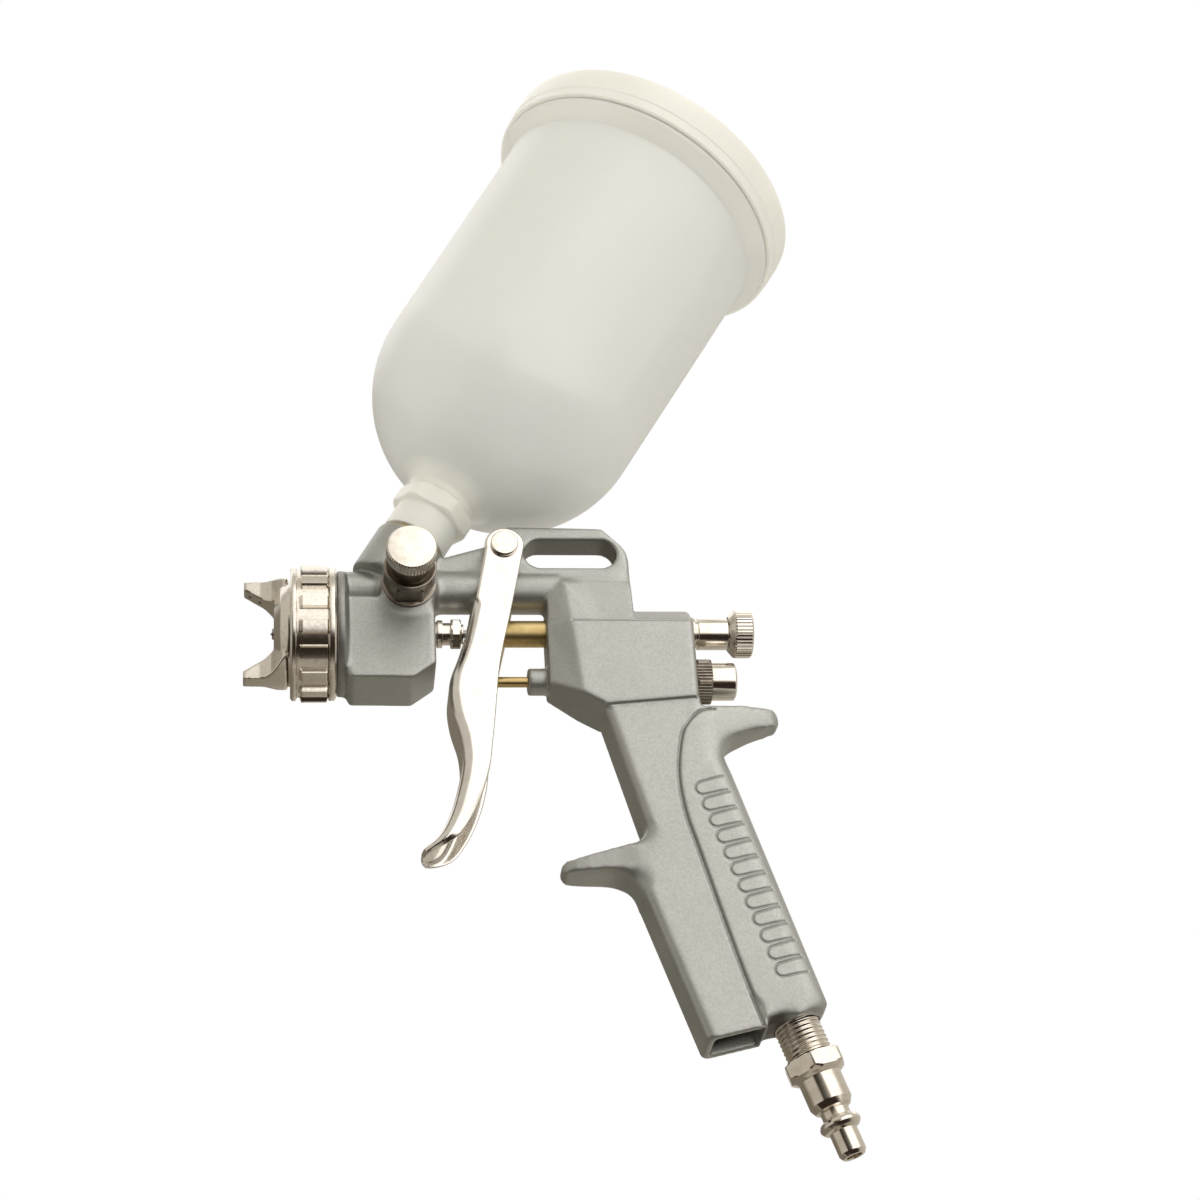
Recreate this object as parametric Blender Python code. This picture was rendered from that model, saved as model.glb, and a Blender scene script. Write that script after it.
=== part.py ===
"""Gravity-feed HVLP spray gun, modelled piece by piece. Metres, +Z up, nozzle towards -X.

The world origin is the middle of the ceiling of the hanging slot. Everything is parented to the empty
"needle_frame": its X axis is the axis of the fluid needle, and Y = 0 is the middle plane of the gun.
"""

import math

import bmesh
import bpy
from mathutils import Vector

# --- driving dimensions, in the needle frame -------------------------------------------------------
GAP = 0.0003  # running gap between neighbouring pieces
SHARP_ANGLE = math.radians(35)  # edges sharper than this are shaded sharp

# air cap end
FACE_X = -0.0768  # front face of the air cap
TIP_X = -0.0774  # fluid tip
HORN_X = -0.0858
HORN_R = 0.0167
RING_FRONT_X = -0.0720
RING_REAR_X = -0.0581
RING_R = 0.0196
RIB_R = 0.0206
RIBS = 16
THREAD_R = 0.0172  # front thread of the body, under the ring
CAVITY_R = 0.0136
SEAT_R = 0.0189
SEAT_REAR_X = -0.0557

# body casting
HEAD_HALF = 0.0096
HEAD_REAR_X = -0.0290
BEAM_Z = 0.0142
BEAM_R = 0.0065
BLOCK_FRONT_X = 0.0045
BLOCK_REAR_X = 0.0487
BLOCK_HALF = 0.0097
FRAME_HALF = 0.0051
SLOT_Z = 0.02555
SLOT_HALF_HEIGHT = 0.00525
SLOT_X = (-0.0014, 0.0283)
SLOT_CEILING = Vector(((SLOT_X[0] + SLOT_X[1]) / 2, 0.0, SLOT_Z + SLOT_HALF_HEIGHT))
GRIP_HALF = 0.0082
GRIP_REAR_HALF = 0.0092
PLATE_EDGE = 0.0012  # chamfer round the frame plate
BLOCK_BEVEL = 0.0015
DUCT_R = 0.0014  # the two air ducts in the beam
DUCT_Y = 0.0043
CROSSOVER_R = 0.0009
HANDLE_DUCT_R = 0.0034

# trigger
PIVOT = Vector((-0.0075, 0.0, 0.0260))
PIVOT_BORE_R = 0.0021
EAR_R = 0.00595
TRIGGER_HALF = 0.0095
TRIGGER_SHEET = 0.0015
NEEDLE_SLOT_HALF_HEIGHT = 0.0046

# needle group and air valve
SLEEVE_R = 0.00405
SLEEVE_X = (-0.0164, 0.0240)
NEEDLE_BORE_R = 0.00435
STEM_Z = -0.0164
STEM_R = 0.0016
CHAMBER_R = 0.0052
SPRING_WIRE_R = 0.0004

# side (pattern) valve
FAN_X = -0.0367
FAN_Z = 0.0110
FAN_FACE_Y = -0.0330
KNOB_R = 0.0073

# cup, on an axis that leans back from the vertical
CUP_CENTRE = Vector((-0.0031, 0.0, 0.0859))
CUP_LEAN = math.radians(30.4)
CUP_R = 0.0433
CUP_TOP_R = 0.0447
CUP_RIM = 0.0975
CUP_WALL = 0.0016
NECK_R = 0.0104
NECK_END = -0.0624
STEM_TOP = -0.0639
BOSS_R = 0.0112

# handle and air inlet, on an axis that leans back going down
INLET_ORIGIN = Vector((0.0503, 0.0, -0.0670))
INLET_LEAN = math.radians(18.3)
INLET_THREAD_R = 0.0066


# --- helpers ---------------------------------------------------------------------------------------
def clear_scene():
    for obj in list(bpy.data.objects):
        bpy.data.objects.remove(obj)


def material(name, colour, roughness, metallic):
    made = bpy.data.materials.new(name)
    made.use_nodes = True
    shader = made.node_tree.nodes["Principled BSDF"]
    shader.inputs["Base Color"].default_value = (*colour, 1.0)
    shader.inputs["Roughness"].default_value = roughness
    shader.inputs["Metallic"].default_value = metallic
    return made


def place(name, mesh_data, finish, location=(0, 0, 0), rotation=(0, 0, 0)):
    """An object under the needle frame, with its closed mesh turned outward."""
    mesh_data.normal_update()
    bmesh.ops.recalc_face_normals(mesh_data, faces=mesh_data.faces)
    mesh = bpy.data.meshes.new(name)
    mesh_data.to_mesh(mesh)
    mesh_data.free()
    mesh.shade_smooth()
    mesh.set_sharp_from_angle(angle=SHARP_ANGLE)
    mesh.materials.append(finish)
    obj = bpy.data.objects.new(name, mesh)
    bpy.context.scene.collection.objects.link(obj)
    obj.parent = bpy.data.objects["needle_frame"]
    obj.location = location
    obj.rotation_euler = rotation
    return obj


def hex_form(angle):
    """Radius of a hexagon of corner radius 1 at this angle."""
    return math.cos(math.pi / 6) / math.cos(angle % (math.pi / 3) - math.pi / 6)


def even(steps):
    return [2 * math.pi * n / steps for n in range(steps)]


def turned(profile, angles=None):
    """Solid turned round local Z from (z, radius) points, or (z, radius, form) where the section isn't round.

    A profile whose ends are on the axis is closed there; any other profile is a closed ring section.
    """
    angles = angles or even(24)
    solid = bmesh.new()
    rings = []
    for point in profile:
        z, radius = point[:2]
        form = point[2] if len(point) > 2 else lambda angle: 1.0
        if radius == 0:
            rings.append([solid.verts.new((0, 0, z))])
            continue
        reach = [radius * form(angle) for angle in angles]
        rings.append([
            solid.verts.new((r * math.cos(a), r * math.sin(a), z)) for r, a in zip(reach, angles)
        ])
    pairs = list(zip(rings, rings[1:]))
    if profile[0][1] != 0:
        pairs.append((rings[-1], rings[0]))
    for low, high in pairs:
        count = max(len(low), len(high))
        for n in range(count):
            m = (n + 1) % count
            corners = [low[n % len(low)], low[m % len(low)], high[m % len(high)], high[n % len(high)]]
            solid.faces.new(list(dict.fromkeys(corners)))
    return solid


def prism(outline, half, chamfer=0.0):
    """Outline in XZ, extruded to both sides of Y = 0, its two outlines chamfered."""
    solid = bmesh.new()
    near = [solid.verts.new((x, -half, z)) for x, z in outline]
    face = solid.faces.new(near)
    grown = bmesh.ops.extrude_face_region(solid, geom=[face])["geom"]
    far = [item for item in grown if isinstance(item, bmesh.types.BMVert)]
    bmesh.ops.translate(solid, verts=far, vec=(0, 2 * half, 0))
    if chamfer:
        edges = [e for e in solid.edges if abs(e.verts[0].co.y - e.verts[1].co.y) < 1e-7]
        bmesh.ops.bevel(
            solid, geom=edges, offset=chamfer, segments=1, affect="EDGES", clamp_overlap=True
        )
    return solid


def loft(rings):
    """Solid through closed rings of equal length, capped at both ends."""
    solid = bmesh.new()
    made = [[solid.verts.new(point) for point in ring] for ring in rings]
    for low, high in zip(made, made[1:]):
        for n in range(len(low)):
            m = (n + 1) % len(low)
            solid.faces.new([low[n], low[m], high[m], high[n]])
    solid.faces.new(made[0])
    solid.faces.new(made[-1])
    return solid


def arc(cx, cz, radius, start, end, steps):
    """Points on a circle in XZ, from one angle to another, in degrees from +X towards +Z."""
    turns = [math.radians(start + (end - start) * n / steps) for n in range(steps + 1)]
    return [(cx + radius * math.cos(t), cz + radius * math.sin(t)) for t in turns]


def helper(name, mesh_data, location=(0, 0, 0), rotation=(0, 0, 0)):
    obj = place(name, mesh_data, bpy.data.materials["cast"], location, rotation)
    obj.hide_render = True
    obj.display_type = "WIRE"
    return obj


def combine(target, tool, operation):
    made = target.modifiers.new(tool.name, "BOOLEAN")
    made.object = tool
    made.operation = operation
    made.solver = "EXACT"


def rod(start, end, radius, steps=24):
    return turned([(start, 0), (start, radius), (end, radius), (end, 0)], even(steps))


def on_cup_axis(s):
    """Point on the cup's axis, s up from the centre of its round bottom."""
    return CUP_CENTRE + s * Vector((math.sin(CUP_LEAN), 0, math.cos(CUP_LEAN)))


ALONG_X = (0, math.pi / 2, 0)
ALONG_Y = (math.pi / 2, 0, 0)  # local Z runs towards -Y, the near side
CUP_TURN = (0, CUP_LEAN, 0)
INLET_TURN = (0, math.pi - INLET_LEAN, 0)  # local Z runs down the handle


# --- body casting ----------------------------------------------------------------------------------
def block_ring(x, half, bottom, inset=0.0):
    """Section of the rear block: flat sides, a small bevel below and a crown over the needle bore."""
    half -= inset
    bottom += inset
    right = [
        (half - BLOCK_BEVEL, bottom), (half, bottom + BLOCK_BEVEL), (half, -0.0003),
        (0.0036, 0.0060 - inset), (0.0018, 0.0068 - inset),
    ]
    left = [(-y, z) for y, z in reversed(right)]
    return [(x, y, z) for y, z in right + left]


def shoulder_ring(z, front, front_half, step, half):
    corners = [(front, front_half), (step, half), (0.0309, half)]
    return [(x, y, z) for x, y in corners + [(x, -y) for x, y in reversed(corners)]]


def head_outline():
    return [
        (-0.0564, 0.0082), (-0.0564, -0.0153), (-0.0543, -0.0196), (-0.0360, -0.0198),
        (HEAD_REAR_X, -0.0146), (HEAD_REAR_X, 0.0082),
    ]


def frame_outline():
    return [
        (-0.0134, 0.0160), (-0.0134, 0.0268), (-0.0116, 0.0296), (-0.0064, 0.0354),
        (0.0232, 0.0348), (0.0289, 0.0288), (0.0304, 0.0263), (0.0309, 0.0235),
        (0.0309, 0.0020), (0.0060, 0.0020),
    ]


def handle_outline():
    finger_hook = [(0.0306, -0.0672), (0.0276, -0.0716), (0.0180, -0.0742)]
    finger_hook += arc(0.0068, -0.0788, 0.0018, 105, 265, 4) + [(0.0216, -0.0810), (0.0262, -0.0832)]
    tail = [(0.0552, -0.0405), (0.0575, -0.0387)] + arc(0.0706, -0.0306, 0.0025, -70, 95, 4)
    return (
        [(0.0201, -0.0285)] + finger_hook
        + [(0.0432, -0.1322), (0.0600, -0.1288), (0.0770, -0.1262), (0.0787, -0.1236)]
        + tail + [(0.0612, -0.0272), (0.0478, -0.0275), (0.0470, -0.0240), (0.0220, -0.0240)]
    )


def grip_outline():
    """Thicker rear part of the handle, behind the curved parting line."""
    return [
        (0.0462, -0.0300), (0.0424, -0.0380), (0.0409, -0.0509), (0.0448, -0.0764),
        (0.0536, -0.1104), (0.0584, -0.1284), (0.0766, -0.1255), (0.0780, -0.1235),
        (0.0548, -0.0416), (0.0500, -0.0330),
    ]


def slot_outline():
    left, right = SLOT_X
    r = SLOT_HALF_HEIGHT
    return arc(left + r, SLOT_Z, r, 90, 270, 6) + arc(right - r, SLOT_Z, r, -90, 90, 6)


def handle_cavity():
    """Hollow in the front of the handle's foot, open at the bottom."""
    down = Vector((math.sin(INLET_LEAN), 0, -math.cos(INLET_LEAN)))
    back = Vector((math.cos(INLET_LEAN), 0, math.sin(INLET_LEAN)))
    foot = Vector((0.0453, 0, -0.1310))
    deep, half = 0.0125, 0.0052
    rings = []
    for depth in (-0.028, 0.006):
        middle = foot + depth * down
        corners = [(0, -half), (deep, -half), (deep, half), (0, half)]
        rings.append([middle + across * back + Vector((0, y, 0)) for across, y in corners])
    return loft(rings)


def build_body(finish):
    rings = [
        block_ring(BLOCK_FRONT_X, 0.0063, -0.0202),
        block_ring(0.0138, BLOCK_HALF, -0.0254),
        block_ring(0.0206, BLOCK_HALF, -0.0292),
        block_ring(BLOCK_REAR_X - 0.0012, BLOCK_HALF, -0.0285),
        block_ring(BLOCK_REAR_X, BLOCK_HALF, -0.0285, 0.0012),
    ]
    body = place("gun_body", loft(rings), finish)

    shoulder = loft([
        shoulder_ring(-0.0006, 0.0047, 0.0062, 0.0138, BLOCK_HALF - 0.0001),
        shoulder_ring(0.0194, 0.0095, 0.0050, 0.0130, FRAME_HALF - 0.0001),
    ])
    grip_lobe = turned([(0.030, 0), (0.030, 0.0090), (0.0612, 0.0090), (0.0624, 0.0078), (0.0624, 0)])
    seat = turned([
        (-0.0670, 0), (-0.0670, THREAD_R - 0.0006), (-0.0664, THREAD_R), (-0.0580, THREAD_R),
        (-0.0580, SEAT_R), (SEAT_REAR_X, SEAT_R), (SEAT_REAR_X, 0),
    ], even(40))
    added = [
        helper("shoulder", shoulder),
        helper("frame_plate", prism(frame_outline(), FRAME_HALF, PLATE_EDGE)),
        helper("beam", rod(-0.0575, 0.0092, BEAM_R), (0, 0, BEAM_Z), ALONG_X),
        helper("fin", prism(
            [(-0.0440, 0.0140), (-0.0300, 0.0236), (-0.0130, 0.0288), (-0.0100, 0.0290), (-0.0100, 0.0140)],
            0.0040, 0.0010,
        )),
        helper("head_box", prism(head_outline(), HEAD_HALF, 0.0009)),
        helper("cap_seat", seat, (0, 0, 0), ALONG_X),
        helper("cup_boss", rod(-0.0165, 0, BOSS_R), on_cup_axis(STEM_TOP), CUP_TURN),
        helper("fan_boss", rod(-0.0060, 0.0110, 0.0083), (FAN_X, 0, FAN_Z), ALONG_Y),
        helper("pivot_lug", rod(-0.0076, 0.0076, 0.0056), PIVOT, ALONG_Y),
        helper("valve_boss", rod(-0.0015, 0.0070, 0.0041), (0, 0, STEM_Z), ALONG_X),
        helper("handle", prism(handle_outline(), GRIP_HALF, 0.0020)),
        helper("grip", prism(grip_outline(), GRIP_REAR_HALF, 0.0022)),
        helper("grip_lobe", grip_lobe, INLET_ORIGIN, INLET_TURN),
    ]
    for tool in added:
        combine(body, tool, "UNION")

    nozzle_bore = turned([
        (-0.0680, 0), (-0.0680, CAVITY_R), (-0.0590, CAVITY_R), (-0.0590, 0.0050), (-0.0545, 0.0050),
        (-0.0545, 0.0022), (-0.0350, 0.0022), (-0.0350, 0.0040), (-0.0280, 0.0040), (-0.0280, 0),
    ], even(32))
    chamber = turned([
        (-0.0020, 0), (-0.0020, 0.0019), (0.0035, 0.0019), (0.0035, 0.0032), (0.0088, 0.0032),
        (0.0088, CHAMBER_R), (0.0430, CHAMBER_R), (0.0430, 0.0054), (0.0500, 0.0054), (0.0500, 0),
    ], even(20))
    cup_bore = turned([
        (-0.0370, 0), (-0.0370, 0.0022), (-0.0115, 0.0022), (-0.0115, 0.0078), (0.0010, 0.0078), (0.0010, 0),
    ])
    crossover_start = Vector((0.0128, 0.0062, -0.0150))
    crossover = Vector((0.0096, 0.0044, 0.0150)) - crossover_start
    removed = [
        helper("slot", prism(slot_outline(), 0.0150)),
        helper("nozzle_bore", nozzle_bore, (0, 0, 0), ALONG_X),
        helper("sleeve_bore", rod(0.0030, 0.0500, NEEDLE_BORE_R), (0, 0, 0), ALONG_X),
        helper("valve_chamber", chamber, (0, 0, STEM_Z), ALONG_X),
        helper("cup_bore", cup_bore, on_cup_axis(STEM_TOP), CUP_TURN),
        helper("fan_bore", rod(0.0010, 0.0120, 0.0040), (FAN_X, 0, FAN_Z), ALONG_Y),
        helper("near_duct", rod(-0.0600, 0.0115, DUCT_R), (0, -DUCT_Y, BEAM_Z + 0.0006), ALONG_X),
        helper("far_duct", rod(-0.0600, 0.0115, DUCT_R), (0, DUCT_Y, BEAM_Z + 0.0006), ALONG_X),
        helper(
            "crossover", rod(0, crossover.length, CROSSOVER_R, 12), crossover_start,
            crossover.to_track_quat("Z", "Y").to_euler(),
        ),
        helper("pivot_bore", rod(-0.0090, 0.0090, PIVOT_BORE_R, 16), PIVOT, ALONG_Y),
        helper("handle_cavity", handle_cavity()),
        helper("handle_duct", rod(-0.0500, 0.0500, HANDLE_DUCT_R), INLET_ORIGIN, INLET_TURN),
        helper("inlet_bore", rod(0.0480, 0.0700, INLET_THREAD_R + GAP), INLET_ORIGIN, INLET_TURN),
    ]
    for tool in removed:
        combine(body, tool, "DIFFERENCE")


# --- air cap end -----------------------------------------------------------------------------------
def build_front(steel, plated, seal, plastic):
    place("fluid_nozzle", turned([
        (TIP_X, 0.0011), (TIP_X, 0.0016), (-0.0745, 0.0022), (-0.0700, 0.0050), (-0.0665, 0.0062, hex_form),
        (-0.0615, 0.0062, hex_form), (-0.0615, 0.0074), (-0.0600, 0.0074), (-0.0600, 0.0047),
        (-0.0550, 0.0047), (-0.0550, 0.0024), (-0.0730, 0.0024),
    ]), steel, rotation=ALONG_X)
    place("nozzle_gasket", turned([
        (-0.0597, 0.0050), (-0.0597, 0.0072), (-0.0593, 0.0072), (-0.0593, 0.0050),
    ]), seal, rotation=ALONG_X)
    place("air_baffle", turned([
        (-0.0680, 0.0080), (-0.0680, 0.0098), (-0.0630, 0.0130), (-0.0600, 0.0132), (-0.0600, 0.0080),
    ], even(28)), plastic, rotation=ALONG_X)

    cap = place("air_cap", turned([
        (FACE_X, 0.0022), (FACE_X, 0.0098), (-0.0748, 0.0138), (-0.0725, 0.0158),
        (-0.0703, 0.0158), (-0.0703, 0.0169), (-0.0683, 0.0169), (-0.0683, 0.0150), (-0.0740, 0.0070),
        (-0.0752, 0.0050), (-0.0752, 0.0022),
    ], even(36)), plated, rotation=ALONG_X)
    for side in (1, -1):
        horn = prism([
            (HORN_X, side * 0.0167), (HORN_X, side * 0.0138), (FACE_X, side * 0.0082),
            (-0.0750, side * 0.0082), (-0.0730, side * 0.0130), (-0.0727, side * 0.0167),
        ][::side], 0.0110)
        plan = loft([
            [(x, y, z) for x, y in (
                (HORN_X - 0.001, -0.0025), (-0.0795, -0.0028), (-0.0765, -0.0055), (-0.0722, -0.0110),
                (-0.0722, 0.0110), (-0.0765, 0.0055), (-0.0795, 0.0028), (HORN_X - 0.001, 0.0025),
            )] for z in (-0.020, 0.020)
        ])
        arm = helper(f"horn_{'top' if side > 0 else 'bottom'}", horn)
        combine(arm, helper(f"horn_plan_{side + 1}", plan), "INTERSECT")
        rim = helper(f"horn_rim_{side + 1}", rod(-0.090, -0.070, HORN_R), (0, 0, 0), ALONG_X)
        combine(arm, rim, "INTERSECT")
        combine(cap, arm, "UNION")

    rib = 2 * math.pi / RIBS
    angles = []
    for n in range(RIBS):
        angles += [n * rib + part * rib for part in (-0.29, -0.27, 0.27, 0.29)]

    def ribbed(angle):
        across = abs((angle + rib / 2) % rib - rib / 2) / rib
        return RIB_R / 0.0190 if across < 0.28 else 1.0

    place("air_cap_ring", turned([
        (RING_FRONT_X, 0.0172), (RING_FRONT_X, RING_R - 0.0006), (RING_FRONT_X + 0.0006, RING_R),
        (-0.0701, RING_R), (-0.0697, 0.0190), (-0.0696, 0.0190, ribbed), (-0.0612, 0.0190, ribbed),
        (-0.0611, 0.0190), (-0.0607, RING_R), (RING_REAR_X - 0.0006, RING_R), (RING_REAR_X - 0.0002, 0.0190),
        (RING_REAR_X - 0.0002, THREAD_R + GAP), (-0.0706, THREAD_R + GAP), (-0.0706, 0.0164),
        (RING_FRONT_X + 0.0006, 0.0164),
    ], angles), plated, rotation=ALONG_X)


# --- needle group ----------------------------------------------------------------------------------
def build_needle(steel, brass, plated, seal):
    place("packing_nut", turned([
        (-0.0330, 0.0019), (-0.0330, 0.0037), (-0.0282, 0.0037), (-0.0282, 0.0042), (-0.0266, 0.0042),
        (-0.0266, 0.0034), (-0.0240, 0.0034), (-0.0240, 0.0051, hex_form), (-0.0216, 0.0051, hex_form),
        (-0.0216, 0.0019),
    ]), plated, rotation=ALONG_X)
    place("needle_packing", turned([
        (-0.0347, 0.0015), (-0.0347, 0.0037), (-0.0333, 0.0037), (-0.0333, 0.0015),
    ]), seal, rotation=ALONG_X)
    place("fluid_needle", turned([
        (TIP_X - 0.0004, 0), (TIP_X - 0.0004, 0.0004), (-0.0720, 0.0012), (0.0520, 0.0012), (0.0520, 0),
    ], even(16)), steel, rotation=ALONG_X)
    place("needle_sleeve", turned([
        (SLEEVE_X[0], 0.0015), (SLEEVE_X[0], SLEEVE_R - 0.0004), (SLEEVE_X[0] + 0.0004, SLEEVE_R),
        (SLEEVE_X[1], SLEEVE_R), (SLEEVE_X[1], 0.0015),
    ]), brass, rotation=ALONG_X)
    place("needle_spring_seat", turned([
        (0.0418, 0.0016), (0.0418, 0.0039), (0.0430, 0.0039), (0.0430, 0.0016),
    ]), steel, rotation=ALONG_X)
    place("fluid_knob_bushing", turned([
        (0.0464, 0.0035), (0.0464, 0.0040), (0.0490, 0.0040), (0.0490, 0.0052), (0.0499, 0.0052),
        (0.0499, 0.0043), (0.0508, 0.0043), (0.0508, 0.0048), (0.0600, 0.0048), (0.0600, 0.0035),
    ]), plated, rotation=ALONG_X)
    place("fluid_knob", turned([
        (0.0640, 0), (0.0640, 0.0017), (0.0433, 0.0017), (0.0433, 0.0032), (0.0603, 0.0032),
        (0.0603, 0.0052), (0.0615, KNOB_R - 0.0006), (0.0622, KNOB_R), (0.0668, KNOB_R),
        (0.0674, KNOB_R - 0.0006), (0.0674, 0),
    ]), plated, rotation=ALONG_X)


def spring(name, start, end, radius, coils, z, finish):
    """Compression spring along X, as a round wire on a helix."""
    steps = 10
    wire = SPRING_WIRE_R
    curve = bpy.data.curves.new(name, "CURVE")
    curve.dimensions = "3D"
    curve.bevel_depth = wire
    curve.bevel_resolution = 1
    curve.use_fill_caps = True
    curve.materials.append(finish)
    line = curve.splines.new("POLY")
    count = coils * steps + 1
    line.points.add(count - 1)
    for n in range(count):
        turn = 2 * math.pi * n / steps
        along = start + wire + (end - start - 2 * wire) * n / (count - 1)
        line.points[n].co = (along, radius * math.cos(turn), radius * math.sin(turn), 1)
    obj = bpy.data.objects.new(name, curve)
    bpy.context.scene.collection.objects.link(obj)
    obj.parent = bpy.data.objects["needle_frame"]
    obj.location = (0, 0, z)
    return obj


# --- air valve -------------------------------------------------------------------------------------
def build_air_valve(brass, plated, seal):
    place("air_valve_stem", turned([
        (-0.0212, 0), (-0.0212, STEM_R - 0.0004), (-0.0208, STEM_R), (0.0125, STEM_R), (0.0125, 0.0032),
        (0.0145, 0.0032), (0.0145, 0.0012), (0.0170, 0.0012), (0.0170, 0),
    ], even(16)), brass, (0, 0, STEM_Z), ALONG_X)
    place("air_valve_seal", turned([
        (0.0113, 0.0019), (0.0113, 0.0036), (0.0122, 0.0036), (0.0122, 0.0019),
    ]), seal, (0, 0, STEM_Z), ALONG_X)
    place("air_valve_packing", turned([
        (0.0038, 0.0019), (0.0038, 0.0029), (0.0058, 0.0029), (0.0058, 0.0019),
    ]), seal, (0, 0, STEM_Z), ALONG_X)
    place("air_valve_seat", turned([
        (0.0091, 0.0024), (0.0091, 0.0049), (0.0102, 0.0049), (0.0110, 0.0030), (0.0110, 0.0024),
    ]), brass, (0, 0, STEM_Z), ALONG_X)
    place("air_valve_plug", turned([
        (0.0438, 0), (0.0438, 0.0051), (0.0490, 0.0051), (0.0490, 0.0072, hex_form),
        (0.0530, 0.0077, hex_form), (0.0538, 0.0064), (0.0538, 0.0057), (0.0605, 0.0057), (0.0612, 0.0049),
        (0.0612, 0.0024), (0.0590, 0.0024), (0.0590, 0),
    ]), plated, (0, 0, STEM_Z), ALONG_X)


# --- trigger ---------------------------------------------------------------------------------------
def trigger_front():
    """Middle line of the finger face, from under the beam to the tip, in the needle frame."""
    return [
        (-0.0176, 0.0072), (-0.0206, -0.0060), (-0.0247, -0.0190), (-0.0255, -0.0250),
        (-0.0246, -0.0325), (-0.0224, -0.0410), (-0.0226, -0.0490), (-0.0246, -0.0580),
        (-0.0270, -0.0655), (-0.0302, -0.0715), (-0.0352, -0.0752),
    ]


def build_trigger(finish):
    ear = arc(PIVOT.x, PIVOT.z, EAR_R, 0, 190, 9)
    rear = [
        (-0.0334, -0.0774), (-0.0272, -0.0752), (-0.0212, -0.0670), (-0.0172, -0.0580),
        (-0.0144, -0.0488), (-0.0120, -0.0300), (-0.0106, -0.0170), (-0.0091, -0.0090), (-0.0056, 0.0065),
    ]
    outline = trigger_front() + rear + ear + [(-0.0166, 0.0075)]
    outline = [(x - PIVOT.x, z - PIVOT.z) for x, z in outline]
    trigger = place("trigger", prism(outline, TRIGGER_HALF, 0.0012), finish, PIVOT)

    inner = [(x + TRIGGER_SHEET * 1.05, z + 0.0003) for x, z in trigger_front()]
    inner[-1] = (-0.0330, -0.0735)
    inner[0] = (-0.0159, 0.0073)
    channel = inner + [(0.0060, -0.0790), (0.0200, 0.0400), (-0.0240, 0.0400), (-0.0240, 0.0073)]
    channel = [(x - PIVOT.x, z - PIVOT.z) for x, z in channel]
    channel_tool = helper("trigger_channel", prism(channel, TRIGGER_HALF - TRIGGER_SHEET), PIVOT)
    combine(trigger, channel_tool, "DIFFERENCE")
    high = NEEDLE_SLOT_HALF_HEIGHT
    slot = prism([(-0.0300, -high), (-0.0100, -high), (-0.0100, high), (-0.0300, high)], 0.0020)
    combine(trigger, helper("needle_slot", slot), "DIFFERENCE")
    combine(trigger, helper("ear_bore", rod(-0.012, 0.012, PIVOT_BORE_R), PIVOT, ALONG_Y), "DIFFERENCE")


def build_pivot(finish):
    head = TRIGGER_HALF + GAP
    place("trigger_pivot_screw", turned([
        (-0.0116, 0), (-0.0116, 0.0018), (head, 0.0018), (head, 0.0040), (0.0116, 0.0040), (0.0120, 0.0036),
        (0.0120, 0),
    ]), finish, PIVOT, ALONG_Y)
    place("trigger_pivot_nut", turned([
        (-0.0118, 0.0021), (-0.0118, 0.0044, hex_form), (-head, 0.0044, hex_form), (-head, 0.0021),
    ]), finish, PIVOT, ALONG_Y)


# --- pattern valve ---------------------------------------------------------------------------------
def build_fan_valve(plated, steel, seal):
    centre = (FAN_X, 0, FAN_Z)
    place("fan_valve_body", turned([
        (0.0040, 0.0026), (0.0040, 0.0037), (0.0113, 0.0037), (0.0113, 0.0074), (0.0125, 0.0074),
        (0.0125, 0.0074, hex_form), (0.0200, 0.0074, hex_form), (0.0200, 0.0062), (0.0214, 0.0062),
        (0.0214, 0.0072), (0.0236, 0.0072), (0.0236, 0.0052), (0.0262, 0.0052), (0.0262, 0.0026),
    ]), plated, centre, ALONG_Y)
    place("fan_valve_stem", turned([
        (0.0020, 0), (0.0050, 0.0019), (0.0240, 0.0019), (0.0275, 0.0019), (0.0275, 0),
    ], even(16)), steel, centre, ALONG_Y)
    place("fan_valve_oring", turned([
        (0.0266, 0.0023), (0.0266, 0.0040), (0.0273, 0.0040), (0.0273, 0.0023),
    ]), seal, centre, ALONG_Y)
    place("fan_valve_knob", turned([
        (0.0278, 0), (0.0278, KNOB_R - 0.0008), (0.0284, KNOB_R), (0.0324, KNOB_R),
        (-FAN_FACE_Y, KNOB_R - 0.0006), (-FAN_FACE_Y, 0),
    ], even(28)), plated, centre, ALONG_Y)


# --- cup -------------------------------------------------------------------------------------------
def bowl(radius, start, end, steps):
    """Round bottom of the cup: (z, radius) points between two angles from straight down, in degrees."""
    turns = [math.radians(start + (end - start) * n / steps) for n in range(steps + 1)]
    return [(-radius * math.cos(t), radius * math.sin(t)) for t in turns]


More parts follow.
